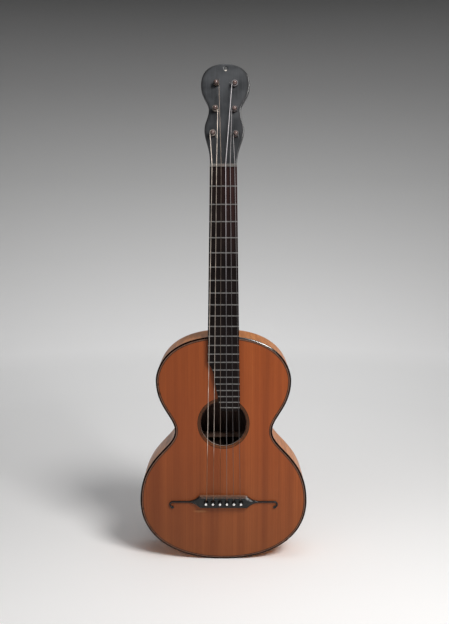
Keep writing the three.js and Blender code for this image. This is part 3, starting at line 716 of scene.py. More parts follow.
binding_black = black_wood("binding_black", (0.004, 0.002, 0.002), (0.008, 0.004, 0.003), 0.3, gloss=0.06)
polished(binding_black, BINDING_SHINE, 0.16, 2.3)
finished("front_edge", binding(from_back=False), [binding_black], ["front_binding"])
finished("back_edge", binding(from_back=True), [binding_black], ["back_binding"])

# Ribs: two strips of flamed maple, 2.2 mm thick, bent over a hot iron and joined at the top
# and the tail. The flames run across them, and a golden varnish covers them.
RIB_THICKNESS = 2.2 * MM
RIB_BOW_STEPS = 6
MAPLE_FLAMES = (
    (0.0, (0.42, 0.135, 0.028)),
    (0.5, (0.55, 0.190, 0.044)),
    (1.0, (0.67, 0.262, 0.070)),
)
MAPLE_LINE = (0.21, 0.070, 0.016)
MAPLE_CLOUD = (0.28, 0.100, 0.024)
MAPLE_RELIEF = 0.02 * MM
BARE_WOOD_RELIEF = 0.1 * MM


def flame_group():
    """The flames of curly maple: soft stripes at right angles to X, so many a metre, and clouds."""
    tree, start, end = new_group("maple_flames", "Flames", 120.0, ("Flames", "Clouds"))
    place = parts_of(tree, start["Vector"])
    sway = times(tree, noise(tree, start["Vector"], (9, 26, 9), 2), 0.018)
    along = times(tree, calculate(tree, "ADD", place["X"], sway), start["Flames"])
    across = times(tree, place["Y"], 14)
    figure = add_node(tree, "ShaderNodeCombineXYZ", X=along, Y=across).outputs["Vector"]
    stripes = noise(tree, figure, 1.0, 1.5, 0.45)
    clouds = noise(tree, start["Vector"], 9.0, 3.0)
    set_input(tree, end, "Flames", remap(tree, stripes, 0.34, 0.66))
    set_input(tree, end, "Clouds", remap(tree, clouds, *NOISE_SPREAD))
    return tree


flames = flame_group()


def bare_wood(name, light, dark):
    """Unvarnished wood inside the body, brown with age and dust."""
    material = new_material(name)
    tree = material.node_tree
    wood = use_group(tree, grain, Wander=0.01)
    dust = use_group(tree, patches, Patches=20.0)["Patches"]
    surface(
        material,
        Base_Color=ramp(tree, wood["Lines"], ((0.0, light), (1.0, dark))),
        Roughness=remap(tree, dust, 0, 1, 0.7, 0.85),
        Specular_IOR_Level=0.15,
        Normal=relief(tree, wood["Fibres"], BARE_WOOD_RELIEF, 0.5),
    )
    tint(material, dust, darkened(dark, 0.6), 0.4)
    return material


def maple_material(name, flame_vector, grain_vector):
    """Flamed maple under a golden varnish. Two functions give the flames' and the grain's directions."""
    material = new_material(name)
    tree = material.node_tree
    figure = use_group(tree, flames, flame_vector(tree), Flames=190.0)
    wood = use_group(tree, grain, grain_vector(tree), Wander=0.008)
    surface(
        material,
        Base_Color=ramp(tree, figure["Flames"], MAPLE_FLAMES),
        Roughness=remap(tree, figure["Clouds"], 0, 1, 0.28, 0.4),
        Specular_IOR_Level=0.14,
        Coat_Weight=0.03,
        Coat_Roughness=0.15,
        Normal=relief(tree, wood["Fibres"], MAPLE_RELIEF, 0.4),
    )
    tint(material, wood["Lines"], MAPLE_LINE, 0.16)
    tint(material, figure["Clouds"], MAPLE_CLOUD, 0.2)
    return material


def along_rib(tree):
    """How far round the body a point of a rib lies, and how deep."""
    return add_node(tree, "ShaderNodeAttribute", {"attribute_name": "run"}).outputs["Vector"]


def along_rib_grain(tree):
    """The rib's grain runs round the body, so its long direction comes from the same attribute."""
    place = parts_of(tree, along_rib(tree))
    return add_node(tree, "ShaderNodeCombineXYZ", X=place["Y"], Z=place["X"]).outputs["Vector"]


def rib(side):
    """One rib, from the tail round its side to the top, between the front and the back edge."""
    outer, inner = body_half(), body_half(RIB_THICKNESS)
    rings = []
    runs = []
    for out, within, run in zip(outer, inner, lengths_along(outer)):
        near, far = PLATE, depth_at(out.y) - PLATE
        ring = [Vector((side * out.x, between(near, far, share), out.y)) for share in shares(RIB_BOW_STEPS)]
        ring += [Vector((side * within.x, y, within.y)) for y in (far, near)]
        rings.append(ring)
        for point in ring:
            runs += [side * run, point.y, 0.0]
    mesh = lofted(rings)
    for face in mesh.polygons[:-2]:
        if face.index % len(rings[0]) == RIB_BOW_STEPS + 1:
            face.material_index = 1
    mesh.attributes.new("run", "FLOAT_VECTOR", "POINT").data.foreach_set("vector", runs)
    return mesh


rib_maple = maple_material("rib_maple", along_rib, along_rib_grain)
# Bare maple inside the body, its own tone set dark as painted shade for the dim inside
inner_maple_painted_shade = bare_wood("inner_maple_painted_shade", (0.11, 0.066, 0.055), (0.06, 0.034, 0.028))
finished("treble_rib", rib(1), [rib_maple, inner_maple_painted_shade], ["rib_treble"])
finished("bass_rib", rib(-1), [rib_maple, inner_maple_painted_shade], ["rib_bass"])

# Back: two matched halves of the same flamed maple, joined down the middle with a thin
# dark line, and glued into the back edge.
BACK_SEAM = 0.35 * MM
BACK_SEAM_TONE = (0.05, 0.03, 0.02)
FLAME_SLANT = 0.16


def matched_halves(tree):
    """A direction for the flames of matched halves: they fall away from the middle on both sides."""
    place = parts_of(tree)
    outwards = calculate(tree, "ABSOLUTE", place["X"])
    tilted = calculate(tree, "ADD", place["Z"], times(tree, outwards, FLAME_SLANT))
    return add_node(tree, "ShaderNodeCombineXYZ", X=tilted, Y=outwards).outputs["Vector"]


def back_material():
    """The maple of the back, with the dark line of its seam."""
    material = maple_material("back_maple", matched_halves, object_place)
    tree = material.node_tree
    from_middle = calculate(tree, "ABSOLUTE", parts_of(tree)["X"])
    tint(material, calculate(tree, "LESS_THAN", from_middle, BACK_SEAM), BACK_SEAM_TONE)
    return material


def back_mesh():
    """The back, bare wood on its inner face, tipped so that the body is deeper at the tail."""
    mesh = board([body_outline(BINDING_WIDTH - PLATE_ROUNDING)], PLATE, PLATE_ROUNDING)
    for face in mesh.polygons:
        if max(mesh.vertices[i].co.y for i in face.vertices) < PLATE_ROUNDING / 2:
            face.material_index = 1
    for vertex in mesh.vertices:
        vertex.co.y += depth_at(vertex.co.z) - PLATE
    return mesh


finished("maple_back", back_mesh(), [back_material(), inner_maple_painted_shade], ["back_plate"])

# Inside: linings, end blocks and braces of bare softwood. They stay as they are built and
# get the look of old unvarnished wood.
INSIDE_NODES = (
    "front_lining",
    "back_lining",
    "neck_block",
    "tail_block",
    "top_brace_upper",
    "top_brace_lower",
    "back_brace_upper",
    "back_brace_lower",
)
inside_wood = bare_wood("bare_softwood", (0.46, 0.29, 0.225), (0.28, 0.165, 0.125))
for node in INSIDE_NODES:
    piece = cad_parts[node]
    piece.data.materials.clear()
    piece.data.materials.append(inside_wood)

# Neck: carved from one piece of maple and stained black, flat under the fingerboard and
# round behind, with a heel that runs down to the back and is glued to the ribs.
SCALE_LENGTH = 610 * MM
NUT_Z = 736.4 * MM
NUT_LENGTH = 5 * MM
HEAD_BASE = NUT_Z + NUT_LENGTH
BOARD_END = 291.2 * MM
BOARD_WIDTH_AT_NUT = 48.2 * MM
BOARD_WIDTH_AT_END = 61.2 * MM
BOARD_RISE = 2.2 * MM
NECK_DEPTH_AT_NUT = 16 * MM
NECK_DEPTH_AT_HEEL = 18.5 * MM
HEEL_LENGTH = 62 * MM
HEEL_CAP_LENGTH = 14 * MM
HEEL_CAP_WIDTH = 30 * MM
NECK_SIDES = 28
HEEL_STEPS = 28


def treble_edge(z):
    """Half the width of the fingerboard at a height."""
    return between(BOARD_WIDTH_AT_NUT, BOARD_WIDTH_AT_END, (NUT_Z - z) / (NUT_Z - BOARD_END)) / 2


def top_of_body(x):
    """The height of the body's upper edge at a distance from the middle."""
    half = body_half()
    for here, above in zip(half[-OUTLINE_STEPS:], half[1 - OUTLINE_STEPS :]):
        if above.x < here.x and above.x <= abs(x) <= here.x:
            return between(here.y, above.y, (here.x - abs(x)) / (here.x - above.x))
    return BODY_LENGTH


def neck_ring(z, depth, heel_share):
    """One section of the neck. In the heel its sides run in to the width of the cap."""
    width = treble_edge(z)
    ring = []
    for step in range(NECK_SIDES + 1):
        across = math.cos(math.pi * step / NECK_SIDES)
        back = math.sin(math.pi * step / NECK_SIDES)
        side = 0 if step * 2 == NECK_SIDES else math.copysign(1, across)
        heel = side * between(width, HEEL_CAP_WIDTH / 2, back)
        ring.append(Vector((between(width * across, heel, heel_share), -BOARD_RISE + depth * back, z)))
    return ring


def neck_mesh():
    """The neck from the nut down to the body, ending along the body's upper edge."""
    heel_top = BODY_LENGTH + HEEL_LENGTH
    heel_depth = DEPTH_AT_NECK + BOARD_RISE
    rings = [neck_ring(HEAD_BASE, NECK_DEPTH_AT_NUT, 0), neck_ring(heel_top, NECK_DEPTH_AT_HEEL, 0)]
    for share in shares(HEEL_STEPS)[1:]:
        turn = math.pi / 2 * share
        z = heel_top - (HEEL_LENGTH - HEEL_CAP_LENGTH) * math.sin(turn)
        depth = between(NECK_DEPTH_AT_HEEL, heel_depth, 1 - math.cos(turn))
        rings.append(neck_ring(z, depth, math.sin(turn)))
    rings.append(neck_ring(BODY_LENGTH, heel_depth, 1))
    for point in rings[-1]:
        point.z = top_of_body(point.x)
    return lofted(rings)


neck_black = black_wood("neck_black", (0.016, 0.016, 0.017), (0.028, 0.024, 0.021), 0.34)
finished("neck_and_heel", neck_mesh(), [neck_black], ["neck"], sharp_angle=50)

# Head: a flat board in the shape of a figure eight, stained black like the neck. It leans
# back from the nut, has six tapered peg holes and a small hole to hang the guitar by.
HEAD_TILT = math.radians(12)
HEAD_LEAN = math.radians(1.4)
HEAD_LENGTH = 183 * MM
HEAD_THICKNESS = 14 * MM
HEAD_ROUNDING = 1.8 * MM
HEAD_STEPS = 24
# The widths of the lower lobe, the waist and the upper lobe, and their heights as shares
HEAD_LOBES = ((71 * MM, 0.333), (57.2 * MM, 0.535), (87.6 * MM, 0.787))
HEAD_HANDLE_SHARES = ((0.5, 0.28), (0.4, 0.42), (0.3, 0.5), (0.64, 0.64))
HEAD_HALF_WIDTH = HEAD_LOBES[2][0] / 2
HANGING_HOLE_RADIUS = 3 * MM
HANGING_HOLE_BELOW_TOP = 8.5 * MM
HEAD_HOLE_STEPS = 32
PEG_ROW_SHARES = (0.294, 0.539, 0.794)
PEG_ROW_OFFSETS = (20.5 * MM, 17.2 * MM, 16.6 * MM)
PEG_SIDES_AND_ROWS = ((-1, 0), (-1, 1), (-1, 2), (1, 2), (1, 1), (1, 0))
PEG_SHANK_RADIUS = 4.4 * MM
PEG_FIT = 0.15 * MM
# Painted shade along the head's rounded edge: how far in it reaches, and its tone
EDGE_SHADE_BAND = (1.2 * MM, 6.5 * MM)
EDGE_PAINTED_SHADE = (0.006, 0.006, 0.007)
FOOT_TONE = (0.010, 0.011, 0.013)
LIP_BAND = (1.6 * MM, 2.6 * MM)
LIP_TONE = (0.62, 0.56, 0.50)

# It leans sideways in its own plane first and is then tilted back
head_turn = Matrix.Rotation(-HEAD_TILT, 4, "X") @ Matrix.Rotation(HEAD_LEAN, 4, "Y")
head_matrix = Matrix.Translation((0, -BOARD_RISE, HEAD_BASE)) @ head_turn


def head_half():
    """The treble side of the head's outline, from below its foot up to the top middle, as (x, z)."""
    half_nut = BOARD_WIDTH_AT_NUT / 2
    lobes = [Vector((width / 2, share * HEAD_LENGTH)) for width, share in HEAD_LOBES]
    corners = [Vector((half_nut, 0)), *lobes, Vector((0, HEAD_LENGTH))]
    below_foot = Vector((half_nut, -HEAD_THICKNESS))
    return [below_foot] + smooth_line(corners, HEAD_HANDLE_SHARES, HEAD_STEPS)[1:]


def peg_place(number):
    """Where a peg stands on the head's face, counted from the bass side."""
    side, row = PEG_SIDES_AND_ROWS[number]
    return Vector((side * PEG_ROW_OFFSETS[row], 0, HEAD_LENGTH * PEG_ROW_SHARES[row]))


def head_mesh():
    """The head, sawn level at its foot where it is glued to the neck."""
    half = head_half()
    outlines = [half + mirrored(half)[1:]]
    outlines.append(circle(0, HEAD_LENGTH - HANGING_HOLE_BELOW_TOP, HANGING_HOLE_RADIUS, HEAD_HOLE_STEPS))
    for number in range(len(STRINGS)):
        place = peg_place(number)
        outlines.append(circle(place.x, place.z, PEG_SHANK_RADIUS + PEG_FIT, HEAD_HOLE_STEPS))
    mesh = board(outlines, HEAD_THICKNESS, HEAD_ROUNDING)
    mesh.transform(head_matrix)
    with opened(mesh) as form:
        bmesh.ops.remove_doubles(form, verts=form.verts, dist=MERGE_DISTANCE)
        everything = form.verts[:] + form.edges[:] + form.faces[:]
        cut = bmesh.ops.bisect_plane(
            form, geom=everything, plane_co=(0, 0, HEAD_BASE), plane_no=(0, 0, -1), clear_outer=True
        )
        sawn = [part for part in cut["geom_cut"] if isinstance(part, bmesh.types.BMEdge)]
        bmesh.ops.contextual_create(form, geom=sawn)
    return mesh


def head_material():
    """The head's black: painted shade along its edge, darker towards its foot, pale on the lip of its hole.
    """
    material = black_wood("head_black", (0.034, 0.037, 0.041), (0.058, 0.062, 0.069), 0.30)
    surface(material, Coat_Weight=0.35, Coat_Roughness=0.16, Coat_IOR=1.7)
    tree = material.node_tree
    flat = add_node(
        tree,
        "ShaderNodeMapping",
        {"vector_type": "TEXTURE"},
        Vector=object_place(tree),
        Location=(0, TOP_FACE - BOARD_RISE, HEAD_BASE),
        Rotation=(-HEAD_TILT, HEAD_LEAN, 0),
    )
    place = parts_of(tree, flat.outputs["Vector"])
    up_head = calculate(tree, "DIVIDE", place["Z"], HEAD_LENGTH)
    widths = [(point.y / HEAD_LENGTH, (point.x / HEAD_HALF_WIDTH,) * 3) for point in head_half()[1::5]]
    half_width = times(tree, ramp(tree, up_head, widths), HEAD_HALF_WIDTH)
    from_edge = calculate(tree, "SUBTRACT", half_width, calculate(tree, "ABSOLUTE", place["X"]))
    # Painted shade along the head's rounded edge
    tint(material, remap(tree, from_edge, *EDGE_SHADE_BAND, 0.85, 0.0), EDGE_PAINTED_SHADE)
    tint(material, remap(tree, up_head, 0.0, 0.8, 0.75, 0.0), FOOT_TONE)
    lip = head_matrix @ Vector((0, 0, HEAD_LENGTH - HANGING_HOLE_BELOW_TOP - HANGING_HOLE_RADIUS))
    from_lip = distance_from(tree, (lip.x, lip.y + TOP_FACE, lip.z), (1, 1, 1))
    tint(material, remap(tree, from_lip, *LIP_BAND, 1.0, 0.0), LIP_TONE)
    return material


finished("figure_eight_head", head_mesh(), [head_material()], ["headstock"])

# Fingerboard: a strip of very dark wood that stands clear of the top. Past the fifteenth
# fret its bass side is cut away in a curve and a slant, towards the soundhole.
BOARD_THICKNESS = 4.8 * MM
BOARD_FRONT = -(BOARD_RISE + BOARD_THICKNESS)
BOARD_ROUNDING = 0.5 * MM
FRET_COUNT = 22
CUTAWAY_FRET = 15
CUTAWAY_LENGTH = 28 * MM
CUTAWAY_EDGE = 17.6 * MM
CUTAWAY_END_EDGE = 5.5 * MM
CUTAWAY_STEPS = 16
BOARD_DARK = (0.003, 0.002, 0.002)
BOARD_BROWN = (0.008, 0.005, 0.005)
BOARD_PORE = (0.004, 0.002, 0.002)
PLAYED_TONE = (0.034, 0.014, 0.013)
PLAYED_FRETS = (6, 1)
PLAYED_ACROSS = (-12 * MM, 18 * MM)
TOUCHED_TONE = (0.016, 0.010, 0.009)
PORE_DEPTH = 0.06 * MM


def fret_z(number):
    """Where a fret lies: each is a twelfth of an octave from the last."""
    return NUT_Z - SCALE_LENGTH * (1 - 2 ** (-number / 12))


CUTAWAY_TOP = fret_z(CUTAWAY_FRET)
CUTAWAY_BEND = CUTAWAY_TOP - CUTAWAY_LENGTH


def bass_edge(z):
    """The place of the fingerboard's bass edge at a height."""
    if z >= CUTAWAY_TOP:
        return -treble_edge(z)
    if z <= CUTAWAY_BEND:
        return -between(CUTAWAY_END_EDGE, CUTAWAY_EDGE, (z - BOARD_END) / (CUTAWAY_BEND - BOARD_END))
    turn = (CUTAWAY_TOP - z) / CUTAWAY_LENGTH * math.pi / 2
    return between(-treble_edge(CUTAWAY_TOP), -CUTAWAY_EDGE, math.sin(turn))


def fingerboard_mesh():
    """The board from its outline, anticlockwise from its treble end."""
    bend = [between(CUTAWAY_BEND, CUTAWAY_TOP, share) for share in shares(CUTAWAY_STEPS)]
    bass = [(bass_edge(z), z) for z in (BOARD_END, *bend, NUT_Z)]
    treble = [(treble_edge(z), z) for z in (BOARD_END, NUT_Z)]
    mesh = board([treble + bass[::-1]], BOARD_THICKNESS, BOARD_ROUNDING)
    mesh.transform(Matrix.Translation((0, BOARD_FRONT, 0)))
    return mesh


def fingerboard_material():
    """Dark brown-black wood with open pores, browned by fingers towards the nut."""
    material = new_material("dark_board_wood")
    tree = material.node_tree
    wood = use_group(tree, grain, Wander=0.004)
    worn = use_group(tree, patches, Patches=24.0)["Patches"]
    surface(
        material,
        Base_Color=ramp(tree, wood["Bands"], ((0.0, BOARD_DARK), (1.0, BOARD_BROWN))),
        Roughness=remap(tree, worn, 0, 1, 0.40, 0.56),
        Specular_IOR_Level=0.09,
        Normal=relief(tree, wood["Lines"], PORE_DEPTH, 0.5),
    )
    place = parts_of(tree)
    played = remap(tree, place["Z"], *(fret_z(number) for number in PLAYED_FRETS))
    across = remap(tree, place["X"], *PLAYED_ACROSS, 0.15, 1.0)
    tint(material, times(tree, played, across), PLAYED_TONE)
    tint(material, wood["Lines"], BOARD_PORE, 0.5)
    tint(material, worn, TOUCHED_TONE, 0.25)
    return material


finished("dark_fingerboard", fingerboard_mesh(), [fingerboard_material()], ["fingerboard"])

# Frets: twenty-two pieces of white metal wire with a low round crown, pressed into slots
# across the fingerboard and filed round at both ends.
FRET_WIDTH = 1.4 * MM
FRET_HEIGHT = 1.0 * MM
FRET_END_ROUNDING = 1.1 * MM
FRET_END_GAP = 0.2 * MM
FRET_SEAT = 0.1 * MM
FRET_STEPS = 64
FRET_SIDES = 20
FRET_NODES = ["fret_%02d" % number for number in range(1, FRET_COUNT + 1)]
# The square of the share of its size that a fret's end keeps, so that its cap isn't a point
FRET_END_SQUARE = 0.02


def metal_material(name, tone, roughness):
    """Worn metal: a plain tone, duller where it is tarnished."""
    material = new_material(name)
    tree = material.node_tree
    worn = use_group(tree, patches, Patches=160.0)["Patches"]
    surface(
        material,
        Base_Color=ramp(tree, worn, ((0.0, tone), (1.0, darkened(tone, 0.6)))),
        Roughness=remap(tree, worn, 0, 1, roughness, roughness + 0.2),
        Metallic=1.0,
    )
    return material


def sweep_tree(name, **sizes):
    """A geometry tree with named sizes that sweeps a section along a mesh's edges, begun at its inputs."""
    tree = bpy.data.node_groups.new(name, "GeometryNodeTree")
    tree.interface.new_socket("Geometry", in_out="INPUT", socket_type="NodeSocketGeometry")
    tree.interface.new_socket("Geometry", in_out="OUTPUT", socket_type="NodeSocketGeometry")
    tree.interface.new_socket("Material", in_out="INPUT", socket_type="NodeSocketMaterial")
    for label, kind in sizes.items():
        tree.interface.new_socket(label.replace("_", " "), in_out="INPUT", socket_type=kind)
    start = tree.nodes.new("NodeGroupInput").outputs
    line = add_node(tree, "GeometryNodeMeshToCurve", Mesh=start["Geometry"]).outputs["Curve"]
    return tree, start, line


def end_sweep(tree, start, line, section):
    """Ends a geometry tree: the section follows the line, is made real and gets its material."""
    swept = add_node(tree, "GeometryNodeCurveToMesh", Curve=line, Profile_Curve=section, Fill_Caps=True)
    real = add_node(tree, "GeometryNodeRealizeInstances", Geometry=swept.outputs["Mesh"])
    dressed = add_node(
        tree, "GeometryNodeSetMaterial", Geometry=real.outputs["Geometry"], Material=start["Material"]
    )
    add_node(tree, "NodeGroupOutput", Geometry=dressed.outputs["Geometry"])
    return tree


def swept_mesh(tree, points, edges, **sizes):
    """The plain mesh that a geometry tree makes along edges between points, with its sizes set."""
    line = bpy.data.meshes.new(tree.name)
    line.from_pydata(points, edges, [])
    maker = placed(tree.name, line)
    modifier = maker.modifiers.new(tree.name, "NODES")
    modifier.node_group = tree
    for label, value in sizes.items():
        socket = tree.interface.items_tree[label.replace("_", " ")]
        modifier[socket.identifier] = value
    made = plain_mesh(maker)
    maker.modifiers.clear()
    bpy.data.objects.remove(maker)
    return made


def fret_tree():
    """Sweeps a flattened round along each edge of a mesh, drawn in at both of its ends."""
    floats = dict.fromkeys(("Width", "Height", "End_Rounding"), "NodeSocketFloat")
    tree, start, line = sweep_tree("fret_wires", **floats)
    fine = add_node(tree, "GeometryNodeResampleCurve", Curve=line, Count=FRET_STEPS).outputs["Curve"]
    upright = add_node(tree, "GeometryNodeSetCurveNormal", {"mode": "Z_UP"}, Curve=fine).outputs["Curve"]
    here = add_node(tree, "GeometryNodeSplineParameter").outputs["Length"]
    length = add_node(tree, "GeometryNodeSplineLength").outputs["Length"]
    from_end = calculate(tree, "MINIMUM", here, calculate(tree, "SUBTRACT", length, here))
    share = calculate(tree, "MINIMUM", calculate(tree, "DIVIDE", from_end, start["End Rounding"]), 1.0)
    gone = calculate(tree, "SUBTRACT", 1.0, share)
    height = calculate(tree, "SUBTRACT", 1.0 + FRET_END_SQUARE, times(tree, gone, gone))
    drawn_in = add_node(
        tree, "GeometryNodeSetCurveRadius", Curve=upright, Radius=calculate(tree, "SQRT", height)
    )
    round_wire = add_node(tree, "GeometryNodeCurvePrimitiveCircle", Resolution=FRET_SIDES, Radius=1.0)
    half_width = times(tree, start["Width"], 0.5)
    sizes = add_node(tree, "ShaderNodeCombineXYZ", X=half_width, Y=start["Height"], Z=1.0).outputs["Vector"]
    flat = add_node(tree, "GeometryNodeTransform", Geometry=round_wire.outputs["Curve"], Scale=sizes)
    return end_sweep(tree, start, drawn_in.outputs["Curve"], flat.outputs["Geometry"])


def fret_points():
    """The two ends of each fret, bass and treble, on the face of the board."""
    points = []
    for number in range(1, FRET_COUNT + 1):
        z = fret_z(number)
        bass = max(bass_edge(z + FRET_WIDTH / 2), bass_edge(z - FRET_WIDTH / 2))
        for x in (bass + FRET_END_GAP, treble_edge(z) - FRET_END_GAP):
            points.append((x, BOARD_FRONT - FRET_SEAT, z))
    return points


fret_metal = metal_material("fret_metal", (0.27, 0.262, 0.254), 0.32)
fret_wires = swept_mesh(
    fret_tree(),
    fret_points(),
    [(i, i + 1) for i in range(0, 2 * FRET_COUNT, 2)],
    Width=FRET_WIDTH,
    Height=FRET_HEIGHT,
    End_Rounding=FRET_END_ROUNDING,
    Material=fret_metal,
)
finished("fret_wires", fret_wires, [fret_metal], FRET_NODES)

# Nut: a strip of bone on the end of the neck, with a notch for each string. It is glued
# between the fingerboard and the head.
FRET_TOP = BOARD_FRONT - FRET_SEAT - FRET_HEIGHT
STRING_DIAMETERS = (1.1 * MM, 0.9 * MM, 0.75 * MM, 1.0 * MM, 0.8 * MM, 0.7 * MM)
STRING_HEIGHT_AT_NUT = 0.7 * MM
STRING_GAP = 0.15 * MM
SPREAD_AT_NUT = 40.4 * MM
NUT_RELIEF = 0.5 * MM
NUT_ROUNDING = 0.25 * MM
NUT_CROWN = 0.5 * MM
NOTCH_STEPS = 8
BONE_GRAINS = (240, 500, 240)


def spread(number, width):
    """The place of a string across a width, counted from the bass side."""
    return width * (number / (len(STRINGS) - 1) - 0.5)


def string_y_at_nut(number):
    """The height of a string's middle at the nut."""
    return FRET_TOP - STRING_HEIGHT_AT_NUT - STRING_DIAMETERS[number] / 2


def nut_outline():
    """The nut seen along the strings, as (x, -y), anticlockwise, with a round notch for each string."""
    half = BOARD_WIDTH_AT_NUT / 2
    crest = NUT_RELIEF - min(string_y_at_nut(number) for number in range(len(STRINGS)))
    outline = [(-half, BOARD_RISE), (half, BOARD_RISE), (half, crest - NUT_CROWN), (half - NUT_CROWN, crest)]
    for number in reversed(range(len(STRINGS))):
        x, y = spread(number, SPREAD_AT_NUT), -string_y_at_nut(number)
        radius = STRING_DIAMETERS[number] / 2 + STRING_GAP
        outline.append((x + radius, crest))
        outline += arc(x, y, radius, 0, -math.pi, NOTCH_STEPS)
        outline.append((x - radius, crest))
    return outline + [(NUT_CROWN - half, crest), (-half, crest - NUT_CROWN)]


def lying_strip(outline, length, rounding, bottom):
    """A strip across the strings, from its outline as (x, -y), with its lower side at a height."""
    mesh = board([outline], length, rounding)
    mesh.transform(Matrix.Translation((0, 0, bottom)) @ Matrix.Rotation(math.pi / 2, 4, "X"))
    return mesh


def bone_material(name, dark, light):
    """Old bone gone brown, with faint streaks."""
    return streaked(name, BONE_GRAINS, (dark, light), (0.32, 0.45), Subsurface_Weight=0.08)


nut_bone = bone_material("nut_bone", (0.085, 0.078, 0.072), (0.14, 0.13, 0.12))
nut = lying_strip(nut_outline(), NUT_LENGTH, NUT_ROUNDING, NUT_Z)
finished("bone_nut", nut, [nut_bone], ["nut"], sharp_angle=60)

# Bridge: one piece of black wood, a block for the pins and two thin arms that end in curls
# with a ball. It is glued to the top, with its edges rounded over.
SADDLE_SETBACK = 1.4 * MM
SADDLE_Z = NUT_Z - SCALE_LENGTH - SADDLE_SETBACK
SADDLE_WIDTH = 1.3 * MM
SADDLE_LENGTH = 84 * MM
SADDLE_DEPTH = 3.5 * MM
BRIDGE_SPAN = 205 * MM
BRIDGE_BLOCK_WIDTH = 89 * MM
BRIDGE_ABOVE_SADDLE = 1.9 * MM
BRIDGE_BELOW_SADDLE = 21.4 * MM
BRIDGE_HEIGHT = 8.7 * MM
SHOULDER_LENGTH = 22 * MM
SHOULDER_STEPS = 24
ARM_WIDTH = 2.8 * MM
ARM_HEIGHT = 3.3 * MM
ARM_BELOW_SADDLE = 11.2 * MM
CURL_RADIUS = 5.2 * MM
CURL_TURN = math.radians(200)
CURL_STEPS = 36
BALL_WIDTH = 4.8 * MM
BALL_START_SHARE = 0.7
BALL_FULL_SHARE = 0.75
SIDE_SHARE = 0.65
BLOCK_BEVEL_SHARE = 0.1
ARM_BEVEL_SHARE = 0.45
CORNER_STEPS = 6
PIN_HOLE_CUT_STEPS = 28
BRIDGE_SHINE = ((47 * MM, 125 * MM, 7 * MM), (53 * MM, 121.5 * MM, 7 * MM))
RUBBED_BELOW_SADDLE = 3 * MM
RUBBED_HALF_WIDTHS = (42 * MM, 47 * MM)
RUBBED_BROWN = (0.075, 0.036, 0.022)
# The paler upper side of the bridge: worn brown wood, brightened as painted light from above
UPPER_SIDE = (1.2 * MM, 1.7 * MM)
UPPER_SIDE_PAINTED_LIGHT = (0.18, 0.095, 0.06)


def bridge_stations():
    """Stations from the middle outwards: place, lean, width, height and how much of the top is rounded."""
    top, bottom = SADDLE_Z + BRIDGE_ABOVE_SADDLE, SADDLE_Z - BRIDGE_BELOW_SADDLE
    arm = SADDLE_Z - ARM_BELOW_SADDLE
    stations = []
    for share in shares(SHOULDER_STEPS):
        fall = (1 - share) ** 2
        high = between(arm + ARM_WIDTH / 2, top, fall)
        low = between(arm - ARM_WIDTH / 2, bottom, fall)
        x = BRIDGE_BLOCK_WIDTH / 2 + SHOULDER_LENGTH * share
        height = between(ARM_HEIGHT, BRIDGE_HEIGHT, fall)
        bevel = between(ARM_BEVEL_SHARE, BLOCK_BEVEL_SHARE, fall)
        stations.append((x, (high + low) / 2, 0.0, high - low, height, bevel))
    curl_x = BRIDGE_SPAN / 2 - ARM_WIDTH / 2 - CURL_RADIUS
    for share in shares(CURL_STEPS):
        lean = CURL_TURN * share
        swell = max(0.0, (share - BALL_START_SHARE) / (1 - BALL_START_SHARE))
        width = between(ARM_WIDTH, BALL_WIDTH, math.sin(swell * math.pi * BALL_FULL_SHARE))
        x = curl_x + CURL_RADIUS * math.sin(lean)
        z = arm - CURL_RADIUS + CURL_RADIUS * math.cos(lean)
        stations.append((x, z, lean, width, ARM_HEIGHT, ARM_BEVEL_SHARE))
    return stations


def bridge_ring(station, side):
    """A section of the bridge across its run: flat below, straight sides, and a rounded top."""
    x, z, lean, width, height, bevel = station
    corner = []
    for turn in arc(0, 0, 1, 0, math.pi / 2, CORNER_STEPS):
        corner.append(Vector((1 - 2 * bevel * (1 - turn.x), between(SIDE_SHARE, 1, turn.y))))
    ring = []
    for across, up in [(-1, 0), (1, 0), *corner, *mirrored(corner)]:
        out = across * width / 2
        ring.append(Vector((side * (x + math.sin(lean) * out), -height * up, z + math.cos(lean) * out)))
    return ring


def carve(mesh, cutters):
    """Cuts closed meshes out of a closed mesh."""
    piece = placed("carved", mesh)
    tools = [placed("cutter", cutter) for cutter in cutters]
    for tool in tools:
        modifier = piece.modifiers.new("cut", "BOOLEAN")
        modifier.operation = "DIFFERENCE"
        modifier.solver = "EXACT"
        modifier.object = tool
    made = plain_mesh(piece)
    for thing in (piece, *tools):
        bpy.data.objects.remove(thing)
    return made


def cutter_mesh(outline, bottom):
    """A straight-sided solid on an outline of (x, z), from well in front of the bridge back to a depth."""
    return lofted([[Vector((x, y, z)) for x, z in outline] for y in (-2 * BRIDGE_HEIGHT, bottom)])


def lane_z(number):
    """Where a string comes up beside its pin."""
    return PIN_Z + PIN_HOLE_RADIUS + STRING_DIAMETERS[number] / 2


def pin_hole_outline(number):
    """A pin hole with a lane on its upper side for the string."""
    x = pin_x(number)
    wide = STRING_DIAMETERS[number] / 2 + STRING_GAP
    start = math.acos(wide / PIN_HOLE_RADIUS)
    top = lane_z(number) + wide
    hole = arc(x, PIN_Z, PIN_HOLE_RADIUS, math.pi - start, 2 * math.pi + start, PIN_HOLE_CUT_STEPS)
    return [*hole, (x + wide, top), (x - wide, top)]


def bridge_mesh():
    """The bridge with its saddle slot and pin holes."""
    stations = bridge_stations()
    rings = [bridge_ring(station, -1) for station in reversed(stations)]
    rings += [bridge_ring(station, 1) for station in stations]
    x, low, high = SADDLE_LENGTH / 2, SADDLE_Z - SADDLE_WIDTH / 2, SADDLE_Z + SADDLE_WIDTH / 2
    slot = [(-x, low), (x, low), (x, high), (-x, high)]
    cutters = [cutter_mesh(slot, SADDLE_DEPTH - BRIDGE_HEIGHT)]
    cutters += [cutter_mesh(pin_hole_outline(number), BRIDGE_HEIGHT) for number in range(len(STRINGS))]
    return carve(lofted(rings), cutters)


